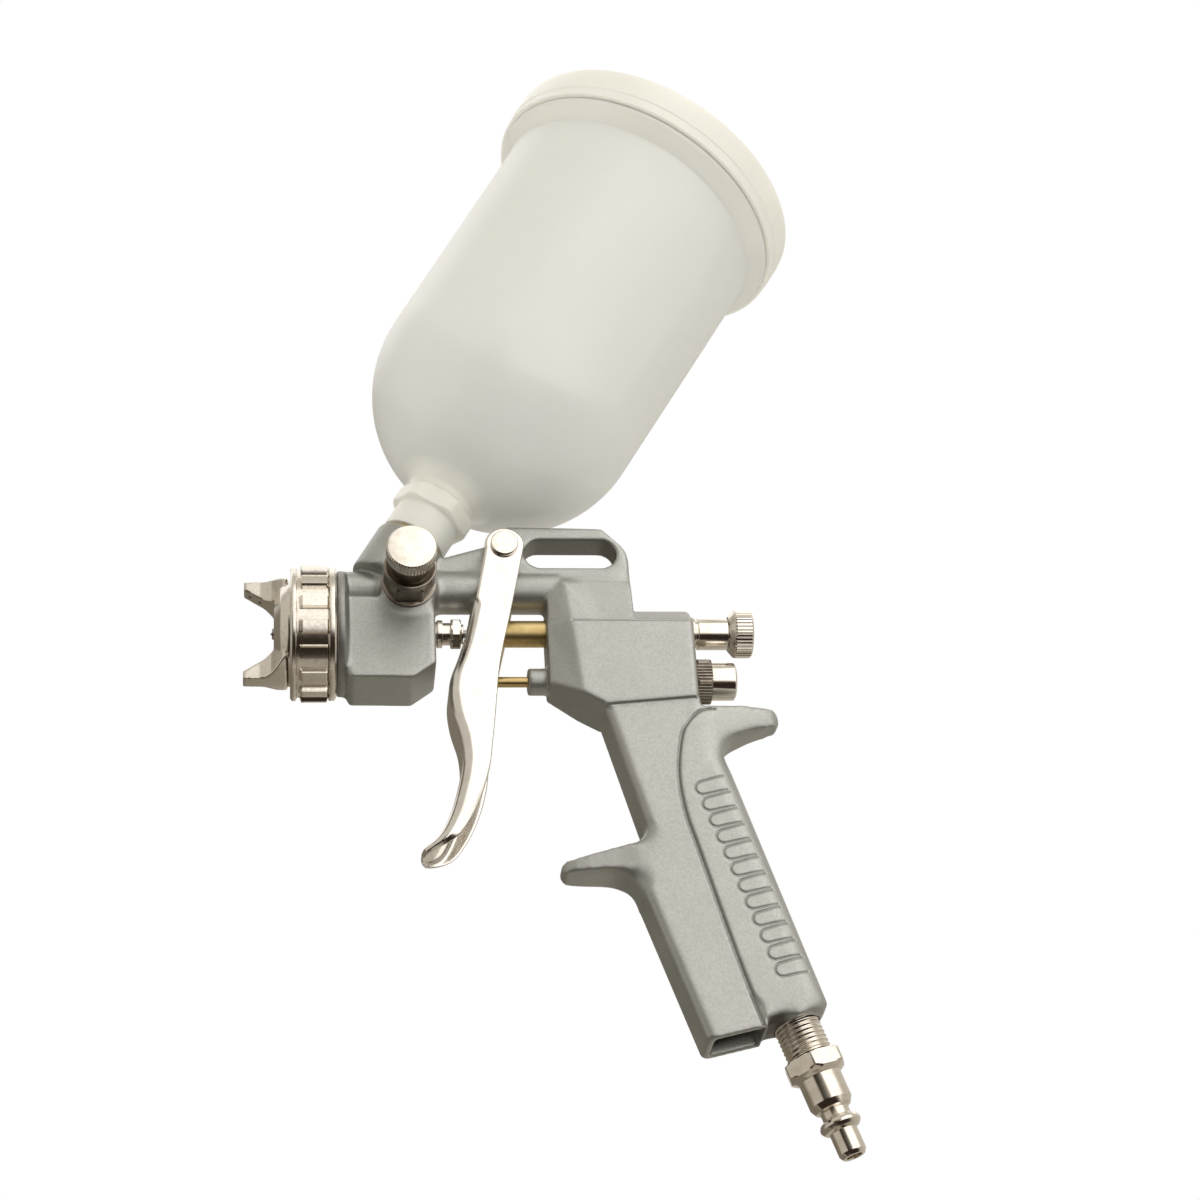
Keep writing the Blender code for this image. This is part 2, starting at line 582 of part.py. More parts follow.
def build_cup(brass, plastic, white):
    place("cup_adapter", turned([
        (-0.0745, 0.0045), (-0.0745, 0.0075), (-0.0637, 0.0075), (-0.0637, 0.0098), (-0.0629, 0.0098),
        (-0.0629, 0.0075), (-0.0520, 0.0075), (-0.0520, 0.0045),
    ]), brass, CUP_CENTRE, CUP_TURN)
    inner = CUP_R - CUP_WALL
    outside = [
        (NECK_END, NECK_R), (-0.0532, NECK_R), (-0.0526, 0.0130, hex_form), (-0.0480, 0.0130, hex_form),
        (-0.0470, 0.0112), (-0.0440, 0.0116),
    ]
    outside += bowl(CUP_R, 21, 90, 7) + [(0.0860, CUP_TOP_R), (CUP_RIM, CUP_TOP_R)]
    inside = [(CUP_RIM, CUP_TOP_R - CUP_WALL)] + bowl(inner, 90, 12, 7)
    inside += [(-0.0505, 0.0050), (-0.0505, 0.0078), (NECK_END, 0.0078)]
    place("cup", turned(outside + inside, even(36)), plastic, CUP_CENTRE, CUP_TURN)
    place("cup_filter", turned([
        (-0.0500, 0), (-0.0500, 0.0042), (-0.0400, 0.0042), (-0.0380, 0.0105), (-0.0372, 0.0105),
        (-0.0395, 0.0034), (-0.0490, 0.0034), (-0.0490, 0),
    ]), white, CUP_CENTRE, CUP_TURN)
    place("cup_lid", turned([
        (0.1010, 0), (0.1010, 0.0480), (0.0995, 0.0505), (0.0985, 0.0507), (0.0876, 0.0487),
        (0.0876, 0.0468), (0.0980, 0.0474), (0.0980, 0.0400), (0.0990, 0.0400), (0.0990, 0),
    ], even(40)), plastic, CUP_CENTRE, CUP_TURN)


# --- air inlet -------------------------------------------------------------------------------------
def build_inlet(plated, steel, seal):
    place("inlet_nipple", turned([
        (0.0500, 0.0034), (0.0500, INLET_THREAD_R), (0.0726, INLET_THREAD_R), (0.0780, 0.0048),
        (0.0780, 0.0034),
    ]), plated, INLET_ORIGIN, INLET_TURN)
    place("inlet_gasket", turned([
        (0.0784, 0.0028), (0.0784, 0.0046), (0.0792, 0.0046), (0.0792, 0.0028),
    ]), seal, INLET_ORIGIN, INLET_TURN)
    place("quick_plug", turned([
        (0.0730, 0.0070), (0.0730, 0.0092, hex_form), (0.0774, 0.0092, hex_form), (0.0780, 0.0078),
        (0.0790, 0.0062), (0.0872, 0.0062), (0.0884, 0.0054), (0.0888, 0.0041), (0.0912, 0.0041),
        (0.0920, 0.0056), (0.0934, 0.0060), (0.0946, 0.0052), (0.0952, 0.0040), (0.1020, 0.0040),
        (0.1028, 0.0034), (0.1028, 0.0023), (0.0800, 0.0023), (0.0800, 0.0052), (0.0776, 0.0052),
    ]), steel, INLET_ORIGIN, INLET_TURN)


def main():
    clear_scene()
    frame = bpy.data.objects.new("needle_frame", None)
    frame.location = -SLOT_CEILING
    bpy.context.scene.collection.objects.link(frame)

    cast = material("cast", (0.45, 0.46, 0.44), 0.45, 0.9)
    plated = material("plated", (0.75, 0.71, 0.66), 0.22, 1.0)
    polished = material("polished", (0.86, 0.84, 0.80), 0.12, 1.0)
    brass = material("brass", (0.78, 0.60, 0.28), 0.25, 1.0)
    steel = material("steel", (0.55, 0.55, 0.56), 0.30, 1.0)
    plastic = material("milky_plastic", (0.86, 0.85, 0.76), 0.40, 0.0)
    white = material("white_plastic", (0.90, 0.90, 0.88), 0.45, 0.0)
    seal = material("seal", (0.06, 0.06, 0.06), 0.70, 0.0)

    build_body(cast)
    build_front(steel, plated, seal, white)
    build_needle(steel, brass, plated, seal)
    spring("needle_spring", 0.0243, 0.0415, 0.0033, 7, 0, steel)
    build_air_valve(brass, plated, seal)
    spring("air_valve_spring", 0.0148, 0.0435, 0.0042, 8, STEM_Z, steel)
    build_trigger(polished)
    build_pivot(polished)
    build_fan_valve(plated, steel, seal)
    build_cup(brass, plastic, white)
    build_inlet(plated, polished, seal)


main()
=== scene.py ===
"""Finished look of the gravity-feed spray gun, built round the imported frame.

Shapes are worked out in mm in the needle frame, and turn into metres as their meshes are made. Its X axis
is the fluid needle's axis, the nozzle points along -X, and Y = 0 is the gun's middle plane. A turned piece
has local Z on its own axis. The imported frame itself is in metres.
"""

import math

import bmesh
import bpy
import numpy as np
from mathutils import Matrix, Vector


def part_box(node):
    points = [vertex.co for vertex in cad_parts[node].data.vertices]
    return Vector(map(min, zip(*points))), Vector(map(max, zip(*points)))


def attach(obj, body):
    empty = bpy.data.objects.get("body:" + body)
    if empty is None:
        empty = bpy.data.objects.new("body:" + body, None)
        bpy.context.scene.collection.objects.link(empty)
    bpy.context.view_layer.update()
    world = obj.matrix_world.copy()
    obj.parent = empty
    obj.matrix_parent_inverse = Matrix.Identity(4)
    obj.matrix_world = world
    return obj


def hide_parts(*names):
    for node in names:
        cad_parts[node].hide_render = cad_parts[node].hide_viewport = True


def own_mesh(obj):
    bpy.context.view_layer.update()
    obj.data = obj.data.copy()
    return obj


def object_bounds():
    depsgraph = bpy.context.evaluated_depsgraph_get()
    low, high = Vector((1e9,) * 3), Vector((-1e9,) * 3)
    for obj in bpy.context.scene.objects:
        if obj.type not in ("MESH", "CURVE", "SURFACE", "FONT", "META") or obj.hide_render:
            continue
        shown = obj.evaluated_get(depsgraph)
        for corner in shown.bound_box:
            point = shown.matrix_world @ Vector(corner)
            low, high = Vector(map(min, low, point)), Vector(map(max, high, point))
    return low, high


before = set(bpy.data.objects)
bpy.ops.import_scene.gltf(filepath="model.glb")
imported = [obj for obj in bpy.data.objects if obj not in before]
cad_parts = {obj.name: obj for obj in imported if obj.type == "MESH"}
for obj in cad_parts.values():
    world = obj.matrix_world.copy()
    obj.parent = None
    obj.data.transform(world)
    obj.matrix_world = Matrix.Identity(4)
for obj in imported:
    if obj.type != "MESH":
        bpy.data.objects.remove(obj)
CAD_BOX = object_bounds()
MM = 0.001

# --- places: the origin is read from the frame, and the rest are in mm from it ---
needle_low, needle_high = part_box("fluid_needle")
nozzle_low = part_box("fluid_nozzle")[0]
TIP_X = -77.4  # fluid tip, in mm in the needle frame
ORIGIN = Vector((
    nozzle_low.x - TIP_X * MM, (needle_low.y + needle_high.y) / 2, (needle_low.z + needle_high.z) / 2,
))
PIVOT = (-7.5, 0, 26)
CUP_LEAN = math.radians(30.4)
CUP_CENTRE = (-3.1, 0, 85.9)
INLET_LEAN = math.radians(18.3)
INLET_ORIGIN = (50.3, 0, -67)
STEM_Z = -16.4
FAN_CENTRE = (-36.7, 0, 11)
FOOT = np.array([45.0, -131.4])  # front corner of the hollow in the handle's foot, in X and Z
DOWN_HANDLE = np.array([math.sin(INLET_LEAN), -math.cos(INLET_LEAN)])  # along the handle, in X and Z
BACK_HANDLE = np.array([math.cos(INLET_LEAN), math.sin(INLET_LEAN)])  # across it, towards its rear
SLOT_X = (3.85, 22.2)  # centres of the hanging slot's round ends
SLOT_Z = 25.6
SLOT_RADIUS = 4.95
MACHINED_X = -54.5  # the casting is turned true in front of this
SIDE_Y = 6.0  # the casting's grooved sides lie beyond this

ALONG_X = (0, math.pi / 2, 0)
ALONG_Y = (math.pi / 2, 0, 0)
CUP_TURN = (0, CUP_LEAN, 0)
INLET_TURN = (0, math.pi - INLET_LEAN, 0)


# --- shapes, in mm ---
STRAIGHT = math.radians(178)  # a corner flatter than this stays as it is
MOST_REACH = 0.45  # the part of an edge that rounding one of its corners may use
PARALLEL = 0.02  # edges whose directions differ less than this count as one line
SLACK = 1e-6  # so that a point on a limit counts as between the limits


def rounded(points, radius, steps=4, closed=False):
    """The same outline with its corners rounded. A point may give its own radius as a third value."""
    out = []
    count = len(points)
    for n, point in enumerate(points):
        here = np.array(point[:2], float)
        own = point[2] if len(point) > 2 else radius
        if (not closed and n in (0, count - 1)) or own <= 0:
            out.append(tuple(here))
            continue
        before = np.array(points[n - 1][:2], float) - here
        after = np.array(points[(n + 1) % count][:2], float) - here
        long_before, long_after = np.linalg.norm(before), np.linalg.norm(after)
        before, after = before / long_before, after / long_after
        corner = math.acos(max(-1.0, min(1.0, float(before @ after))))
        if corner > STRAIGHT:
            out.append(tuple(here))
            continue
        reach = min(own / math.tan(corner / 2), MOST_REACH * long_before, MOST_REACH * long_after)
        first, last = here + before * reach, here + after * reach
        for step in range(steps + 1):
            t = step / steps
            out.append(tuple((1 - t) ** 2 * first + 2 * t * (1 - t) * here + t * t * last))
    return out


def smooth_line(points, per_span):
    """Catmull-Rom curve through the points."""
    points = [np.array(p, float) for p in points]
    out = []
    for n, (b, c) in enumerate(zip(points, points[1:])):
        a, d = points[max(n - 1, 0)], points[min(n + 2, len(points) - 1)]
        for step in range(per_span):
            t = step / per_span
            out.append(0.5 * (
                2 * b + (c - a) * t + (2 * a - 5 * b + 4 * c - d) * t * t + (3 * b - a - 3 * c + d) * t ** 3
            ))
    return [tuple(p) for p in out + points[-1:]]


def hexagon(corner, turn=0.0):
    """Form of a hexagon, corner mm from its middle to its corners."""
    flat = corner * math.cos(math.pi / 6)
    return lambda z, angle: flat / math.cos((angle - turn) % (math.pi / 3) - math.pi / 6)


def knurl(radius, ridges, depth):
    """Form of straight ridges with round backs."""
    return lambda z, angle: radius - depth * (1 - abs(math.sin(angle * ridges / 2))) ** 1.3


def thread(radius, pitch, depth):
    """Form of a helical thread whose crest has this radius."""
    def reach(z, angle):
        wave = abs(2 * ((z / pitch - angle / (2 * math.pi)) % 1) - 1)
        return radius - depth * wave * wave * (3 - 2 * wave)
    return reach


def turned(profile, steps=96):
    """Solid turned round local Z. A profile point is (z, radius) or (z, radius, form), where form(z, angle)
    gives the section's own reach and radius is its limit. Ends on the axis close the solid; otherwise the
    profile is a closed ring section."""
    solid = bmesh.new()
    rings = []
    profile = [p for n, p in enumerate(profile) if n == 0 or tuple(p[:2]) != tuple(profile[n - 1][:2])]
    for point in profile:
        z, radius = point[:2]
        form = point[2] if len(point) > 2 else None
        if radius == 0:
            rings.append([solid.verts.new((0, 0, z * MM))])
            continue
        ring = []
        for n in range(steps):
            angle = 2 * math.pi * n / steps
            reach = min(radius, form(z, angle)) if form else radius
            ring.append(solid.verts.new((reach * math.cos(angle) * MM, reach * math.sin(angle) * MM, z * MM)))
        rings.append(ring)
    pairs = list(zip(rings, rings[1:]))
    if profile[0][1] != 0:
        pairs.append((rings[-1], rings[0]))
    for low, high in pairs:
        for n in range(steps):
            m = (n + 1) % steps
            corners = [low[n % len(low)], low[m % len(low)], high[m % len(high)], high[n % len(high)]]
            solid.faces.new(list(dict.fromkeys(corners)))
    return solid


def with_form(points, form, low, high):
    """Profile points, those between two heights given a form."""
    return [(*p[:2], form) if low - SLACK <= p[0] <= high + SLACK and p[1] > 0 else p for p in points]


def loft(rings):
    """Solid through rings of points, closed by its first and last ring."""
    solid = bmesh.new()
    made = [[solid.verts.new((x * MM, y * MM, z * MM)) for x, y, z in ring] for ring in rings]
    for low, high in zip(made, made[1:]):
        for n in range(len(low)):
            m = (n + 1) % len(low)
            solid.faces.new([low[n], low[m], high[m], high[n]])
    solid.faces.new(made[0])
    solid.faces.new(made[-1])
    return solid


def both_sides(points):
    """The near side's points (x, y, z) and then their mirror images, in reverse."""
    return list(points) + [(x, -y, z) for x, y, z in reversed(points)]


def inset(outline, insets):
    """Outline with each edge moved inward by its own distance; an edge starts at its point. Anticlockwise."""
    lines = []
    for a, b, distance in zip(outline, outline[1:] + outline[:1], insets):
        along = np.array(b) - np.array(a)
        along = along / np.linalg.norm(along)
        lines.append((a + np.array([-along[1], along[0]]) * distance, along))
    out = []
    for n, (q, e) in enumerate(lines):
        p, d = lines[n - 1]
        cross = d[0] * e[1] - d[1] * e[0]
        if abs(cross) < PARALLEL:
            out.append(q)
            continue
        t = ((q[0] - p[0]) * e[1] - (q[1] - p[1]) * e[0]) / cross
        out.append(p + d * t)
    return out


def anticlockwise(outline):
    area = sum(a[0] * b[1] - b[0] * a[1] for a, b in zip(outline, outline[1:] + outline[:1]))
    return outline if area > 0 else outline[::-1]


def plate(outline, half, depth, edge=None, steps=4):
    """XZ outline with thickness 2 * half in Y, its rims rounded over depth in Y and edge(x, z) inward."""
    outline = anticlockwise([tuple(p[:2]) for p in outline])
    reach = [
        edge((a[0] + b[0]) / 2, (a[1] + b[1]) / 2) if edge else depth
        for a, b in zip(outline, outline[1:] + outline[:1])
    ]
    rings = []
    for step in range(steps + 1):
        turn = math.pi / 2 * step / steps
        y = half - depth * (1 - math.sin(turn))
        rings.append([(x, y, z) for x, z in inset(outline, [r * (1 - math.cos(turn)) for r in reach])])
    near = [[(x, -y, z) for x, y, z in ring] for ring in rings[::-1]]
    return loft(near + rings)


def arc(cx, cz, radius, start, end, steps):
    turns = [math.radians(start + (end - start) * n / steps) for n in range(steps + 1)]
    return [(cx + radius * math.cos(t), cz + radius * math.sin(t)) for t in turns]


def rod(start, end, radius, steps=48):
    return turned([(start, 0), (start, radius), (end, radius), (end, 0)], steps)


def in_mm(vector):
    return Vector(vector) * MM


def on_cup_axis(s):
    """Point on the cup's axis, s mm above the middle of its round bottom."""
    return (CUP_CENTRE[0] + s * math.sin(CUP_LEAN), 0.0, CUP_CENTRE[2] + s * math.cos(CUP_LEAN))


CUP_SEAT = on_cup_axis(-63.9)  # where the cup meets its boss on the casting
VALVE_PLACE = (0, 0, STEM_Z)


# --- objects ---
def mesh_of(name, solid):
    bmesh.ops.recalc_face_normals(solid, faces=solid.faces)
    mesh = bpy.data.meshes.new(name)
    solid.to_mesh(mesh)
    solid.free()
    return mesh


def in_scene(name, data):
    obj = bpy.data.objects.new(name, data)
    bpy.context.scene.collection.objects.link(obj)
    return obj


def tool(name, solid, location=(0, 0, 0), rotation=(0, 0, 0)):
    """Temporary object for mesh work."""
    obj = in_scene(name, mesh_of(name, solid))
    obj.location = in_mm(location)
    obj.rotation_euler = rotation
    return obj


def baked_mesh(obj, name):
    """The object's mesh with its modifiers applied."""
    bpy.context.view_layer.update()
    graph = bpy.context.evaluated_depsgraph_get()
    mesh = bpy.data.meshes.new_from_object(obj.evaluated_get(graph))
    mesh.name = name
    return mesh


def solve(base, tools, operation):
    """Boolean of closed meshes, done at once; the tools are removed."""
    for other in tools:
        modifier = base.modifiers.new(other.name, "BOOLEAN")
        modifier.object = other
        modifier.operation = operation
        modifier.solver = "MANIFOLD"
    mesh = baked_mesh(base, base.name)
    base.modifiers.clear()
    base.data = mesh
    for other in tools:
        bpy.data.objects.remove(other)
    return base


def remeshed(obj, voxel, smoothing):
    """Even mesh over the solid, its edges softened."""
    remesh = obj.modifiers.new("remesh", "REMESH")
    remesh.mode = "VOXEL"
    remesh.voxel_size = voxel * MM
    soften = obj.modifiers.new("soften", "SMOOTH")
    soften.factor = 0.5
    soften.iterations = smoothing
    mesh = baked_mesh(obj, obj.name)
    obj.modifiers.clear()
    obj.data = mesh
    return obj


def finish_piece(obj, name, material, body, slot, node, location=(0, 0, 0), sharp=35):
    """Names, places and finishes an object, puts it under its body's empty and hides the frame's own part."""
    obj.name = name
    obj.location = ORIGIN + in_mm(location)
    bpy.context.view_layer.update()
    obj.data.materials.clear()
    obj.data.materials.append(material)
    obj.data.shade_smooth()
    obj.data.set_sharp_from_angle(angle=math.radians(sharp))
    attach(obj, body)
    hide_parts(node)
    return obj


def piece(
    name, solid, material, node, location=(0, 0, 0), rotation=ALONG_X, sharp=35, body="gun",
    slot="plated_fittings",
):
    obj = tool(name, solid, location, rotation)
    return finish_piece(obj, name, material, body, slot, node, location, sharp)


# --- materials ---
TOOL_MARK_MM = 0.16  # width of the rings that turning leaves


class Graph:
    """Makes and links the nodes of a material or of the world."""

    def __init__(self, tree):
        self.tree = tree

    def node(self, kind, **settings):
        made = self.tree.nodes.new(kind)
        for name, value in settings.items():
            setattr(made, name, value)
        return made

    def put(self, socket, value):
        """Sets an input to a number or a colour, or links a value to it."""
        if isinstance(value, (int, float)):
            socket.default_value = value
        elif isinstance(value, tuple):
            socket.default_value = (*value, 1.0)
        else:
            self.tree.links.new(value, socket)

    def fill(self, node, **values):
        """Puts each value into the input of its name, in which _ stands for a space."""
        for name, value in values.items():
            self.put(node.inputs[name.replace("_", " ")], value)

    def span(self, value, low, high, to_low=0.0, to_high=1.0, shape="LINEAR"):
        node = self.node("ShaderNodeMapRange", interpolation_type=shape)
        self.fill(node, Value=value, From_Min=low, From_Max=high, To_Min=to_low, To_Max=to_high)
        return node.outputs["Result"]

    def math(self, operation, *values):
        node = self.node("ShaderNodeMath", operation=operation)
        for socket, value in zip(node.inputs, values):
            self.put(socket, value)
        return node.outputs["Value"]

    def blend(self, factor, first, second):
        node = self.node("ShaderNodeMix", data_type="RGBA")
        self.fill(node, Factor=factor, A=first, B=second)
        return node.outputs["Result"]


class Surface(Graph):
    """A procedural material on object coordinates."""

    def __init__(self, name, **values):
        self.material = bpy.data.materials.new(name)
        self.material.use_nodes = True
        super().__init__(self.material.node_tree)
        self.shader = self.tree.nodes["Principled BSDF"]
        for socket, value in values.items():
            self.shader.inputs[socket.replace("_", " ")].default_value = value
        self.place = self.node("ShaderNodeTexCoord").outputs["Object"]

    def noise(self, size_mm, detail=3.0, rough=0.55, stretch=None):
        """Noise with features of about this size."""
        source = self.place
        if stretch:
            mapping = self.node("ShaderNodeMapping")
            mapping.inputs["Scale"].default_value = stretch
            self.fill(mapping, Vector=source)
            source = mapping.outputs["Vector"]
        node = self.node("ShaderNodeTexNoise")
        self.fill(node, Vector=source, Scale=1 / (size_mm * MM), Detail=detail, Roughness=rough)
        return node.outputs["Fac"]

    def curvature(self, low, high, to_low, to_high):
        """From the mesh's own curvature, which is 0.5 on flat parts, more on edges and less in hollows."""
        point = self.node("ShaderNodeNewGeometry").outputs["Pointiness"]
        return self.span(point, low, high, to_low, to_high)

    def bump(self, height, strength, distance_mm, after=None):
        node = self.node("ShaderNodeBump")
        self.fill(node, Strength=strength, Distance=distance_mm * MM, Height=height)
        if after:
            self.fill(node, Normal=after)
        return node.outputs["Normal"]

    def finished(self, colour, roughness, normal):
        self.fill(self.shader, Base_Color=colour, Roughness=roughness, Normal=normal)
        return self.material


def cast_metal():
    """Bead-blasted die casting: satin, warm grey-green, fine grain, lighter on its edges, with painted shade
    in its hollows and grooves.
    """
    s = Surface("cast_aluminium", Metallic=0.9)
    broad = s.noise(14, 2.0)
    grain = s.noise(0.55, 4.0, 0.7)
    tone = s.blend(s.span(broad, 0.35, 0.65), (0.480, 0.490, 0.464), (0.535, 0.538, 0.515))
    tone = s.blend(s.span(grain, 0.42, 0.62, 0.0, 0.35), tone, (0.33, 0.33, 0.30))
    tone = s.blend(s.math("MULTIPLY", s.curvature(0.52, 0.62, 0.0, 1.0), 0.5), tone, (0.56, 0.56, 0.53))
    # painted shade in hollows, read from the mesh's curvature
    tone = s.blend(s.math("MULTIPLY", s.curvature(0.40, 0.485, 1.0, 0.0), 0.75), tone, (0.17, 0.165, 0.14))
    # painted shade from the mesh's attribute: along grooves, inside openings, on the seat and in the slot
    shade_mask = s.node("ShaderNodeAttribute", attribute_name="painted_shade").outputs["Fac"]
    tone = s.blend(shade_mask, tone, (0.055, 0.045, 0.034))
    both = s.math("ADD", s.math("MULTIPLY", grain, 0.6), s.math("MULTIPLY", broad, 0.4))
    relief = s.bump(s.noise(0.28, 2.0, 0.6), 0.35, 0.02, s.bump(grain, 0.25, 0.05))
    return s.finished(tone, s.span(both, 0.3, 0.7, 0.40, 0.54), relief)


def turned_metal(name, colour, second, low, high):
    """Metal turned on a lathe: fine rings about local Z, and a little tarnish."""
    s = Surface(name, Metallic=1.0)
    split = s.node("ShaderNodeSeparateXYZ")
    s.fill(split, Vector=s.place)
    rings = s.node("ShaderNodeTexNoise", noise_dimensions="1D")
    s.fill(rings, W=split.outputs["Z"], Scale=1 / (TOOL_MARK_MM * MM), Detail=2.0)
    ring = rings.outputs["Fac"]
    cloud = s.noise(3.5, 4.0, 0.6)
    return s.finished(
        s.blend(s.span(cloud, 0.42, 0.72), colour, second),
        s.span(s.math("ADD", ring, cloud), 0.7, 1.3, low, high),
        s.bump(ring, 0.12, 0.012, s.bump(s.noise(1.6, 2.0), 0.08, 0.04)),
    )


def plated_casting():
    """Bright nickel plate over a cast surface, a little lumpy."""
    s = Surface("plated_casting", Metallic=1.0)
    lumps = s.noise(1.1, 3.0, 0.6)
    fine = s.noise(0.35, 2.0, 0.6)
    return s.finished(
        s.blend(s.span(lumps, 0.4, 0.7), (0.85, 0.81, 0.74), (0.77, 0.72, 0.64)),
        s.span(lumps, 0.2, 0.8, 0.14, 0.27), s.bump(lumps, 0.035, 0.08, s.bump(fine, 0.04, 0.02)),
    )


def polished_sheet():
    """Polished and plated pressed sheet with faint draw marks along its length."""
    s = Surface("polished_sheet", Metallic=1.0)
    marks = s.noise(0.5, 3.0, 0.6, stretch=(1.0, 1.0, 0.06))
    cloud = s.noise(5, 2.0)
    return s.finished(
        s.blend(s.span(cloud, 0.4, 0.7), (0.90, 0.87, 0.82), (0.80, 0.76, 0.70)),
        s.span(marks, 0.35, 0.65, 0.12, 0.24), s.bump(marks, 0.03, 0.03, s.bump(cloud, 0.05, 0.12)),
    )


def milky_plastic(name, colour, second):
    """Translucent polyethylene: soft inner glow and faint flow marks."""
    s = Surface(
        name, Subsurface_Weight=0.55, Subsurface_Radius=(1.0, 0.92, 0.72), Subsurface_Scale=0.006, IOR=1.5,
        Specular_IOR_Level=0.8,
    )
    flow = s.noise(22, 2.0, 0.5, stretch=(1.0, 1.0, 0.45))
    return s.finished(
        s.blend(s.span(flow, 0.1, 0.9), colour, second), s.span(flow, 0.1, 0.9, 0.285, 0.34),
        s.bump(s.noise(14, 1.0), 0.04, 0.25),
    )


def plain_part(name, colour, second, low, high, size_mm):
    """Finish of the small inner pieces and the floor."""
    s = Surface(name, Metallic=0.0)
    cloud = s.noise(size_mm, 3.0)
    return s.finished(
        s.blend(s.span(cloud, 0.35, 0.65), colour, second), s.span(cloud, 0.3, 0.7, low, high),
        s.bump(s.noise(size_mm / 4, 2.0), 0.15, 0.02),
    )


CAST = cast_metal()
NICKEL = turned_metal("turned_nickel", (0.86, 0.81, 0.74), (0.74, 0.68, 0.59), 0.11, 0.20)
DARK_NICKEL = turned_metal("dull_nickel", (0.34, 0.30, 0.25), (0.22, 0.19, 0.155), 0.28, 0.38)
BRASS = turned_metal("turned_brass", (0.76, 0.58, 0.27), (0.64, 0.46, 0.19), 0.28, 0.36)
SATIN_BRASS = turned_metal("satin_brass", (0.70, 0.54, 0.26), (0.60, 0.45, 0.19), 0.34, 0.46)
STEEL = turned_metal("turned_steel", (0.62, 0.61, 0.59), (0.50, 0.49, 0.47), 0.28, 0.36)
PLATED = plated_casting()
SHEET = polished_sheet()
MILKY = milky_plastic("milky_plastic", (0.82, 0.81, 0.755), (0.785, 0.772, 0.705))
LID = milky_plastic("lid_plastic", (0.88, 0.865, 0.80), (0.85, 0.832, 0.762))
WHITE = plain_part("white_moulding", (0.85, 0.85, 0.82), (0.78, 0.78, 0.74), 0.40, 0.55, 3)
RUBBER = plain_part("black_seal", (0.025, 0.025, 0.025), (0.05, 0.05, 0.045), 0.60, 0.80, 2)


# --- body casting ---
def block_ring(x, half, bottom, shrink=0.0, lean=0.0):
    """Section of the rear block; lean is how far forward its top is of its bottom."""
    half -= shrink
    bottom += shrink
    side = (
        (half - 0.7, bottom), (half, bottom + 0.7), (half, -0.3), (3.6, 6.0 - shrink), (1.8, 6.8 - shrink),
    )
    return both_sides([(x - lean * (z - bottom) / -bottom, y, z) for y, z in side])


def plan_limit(points, low, high):
    """Upright solid from a half plan of (x, half width) points, to narrow a plate with."""
    return tool("plan", loft([both_sides([(x, y, z) for x, y in points]) for z in (low, high)]))


def finger_hook():
    outline = [(36, -66), (30.6, -68)] + smooth_line(
        [(30.6, -68), (28.6, -70.9), (24.5, -72.6), (16, -74.8), (8.2, -76.9)], 6)[1:]
    outline += arc(7.3, -78.8, 1.9, 100, 262, 10)
    outline += smooth_line([(12, -80.9), (19.5, -81.2), (23.9, -82.6), (26.5, -85.2), (28.2, -89.5)], 6)
    outline += [(38, -90)]

    def edge(x, z):
        if x > 30:
            return 0.2
        return 3.4 if z < -79.5 else 1.3

    hook = tool("hook", plate(outline, 8.4, 4.6, edge, 6))
    limit = plan_limit([
        (5.1, 1.2), (5.6, 3), (6.8, 4.6), (9, 5.7), (13, 6.4), (22, 7.4), (30, 8.7), (40, 8.7),
    ], -95, -60)
    return solve(hook, [limit], "INTERSECT")


def tail_hook():
    outline = [(47.2, -28.6), (47.8, -36), (52, -44), (55, -43)]
    outline += smooth_line([(55.2, -41.6), (57.2, -38.9), (62, -36.7), (70.9, -33.1)], 6)
    outline += arc(70, -30.6, 3.2, -62, 90, 10) + [(61.2, -27.3)]
    hook = tool("tail", plate(outline, 9.2, 2.2, lambda x, z: 0.6 if x < 54 else 2.0))
    limit = plan_limit([
        (44, 8.25), (48, 8.25), (50.6, 9.1), (55, 8), (59, 6.9), (64, 5.9), (68.5, 5), (71.4, 3.8),
        (72.8, 2.2), (73.2, 0.8),
    ], -50, -20)
    return solve(hook, [limit], "INTERSECT")


def handle_core():
    outline = [
        (20.1, -26), (20.4, -29.5), (30.6, -68), (28.3, -77), (27.8, -86.3), (43.1, -132.6), (44.6, -133),
        (60.4, -129.4), (60, -100), (50, -60), (49, -26),
    ]

    def edge(x, z):
        if z > -27 or x > 48:
            return 0.05
        return 0.9 if z < -130 else 2.3

    return tool("handle", plate(outline, 8.6, 2.2, edge))


def grip_core():
    front = smooth_line([
        (50.6, -29.4), (46.7, -31.6), (42.6, -37.9), (40.5, -50.9), (41.6, -63.5), (44.8, -76.4),
        (53.6, -110.4), (59.2, -128.6),
    ], 5)
    outline = front + [(77, -125), (78.4, -122), (54.6, -42.3), (52, -34)]

    def edge(x, z):
        behind = (x - 54.3) - (-41.8 - z) * 0.302
        if behind > -3.5 and z < -36.0:
            return 6.0
        return 2.2 if z < -124 else 0.4

    return tool("grip", plate(outline, 9.2, 4.6, edge, 8))


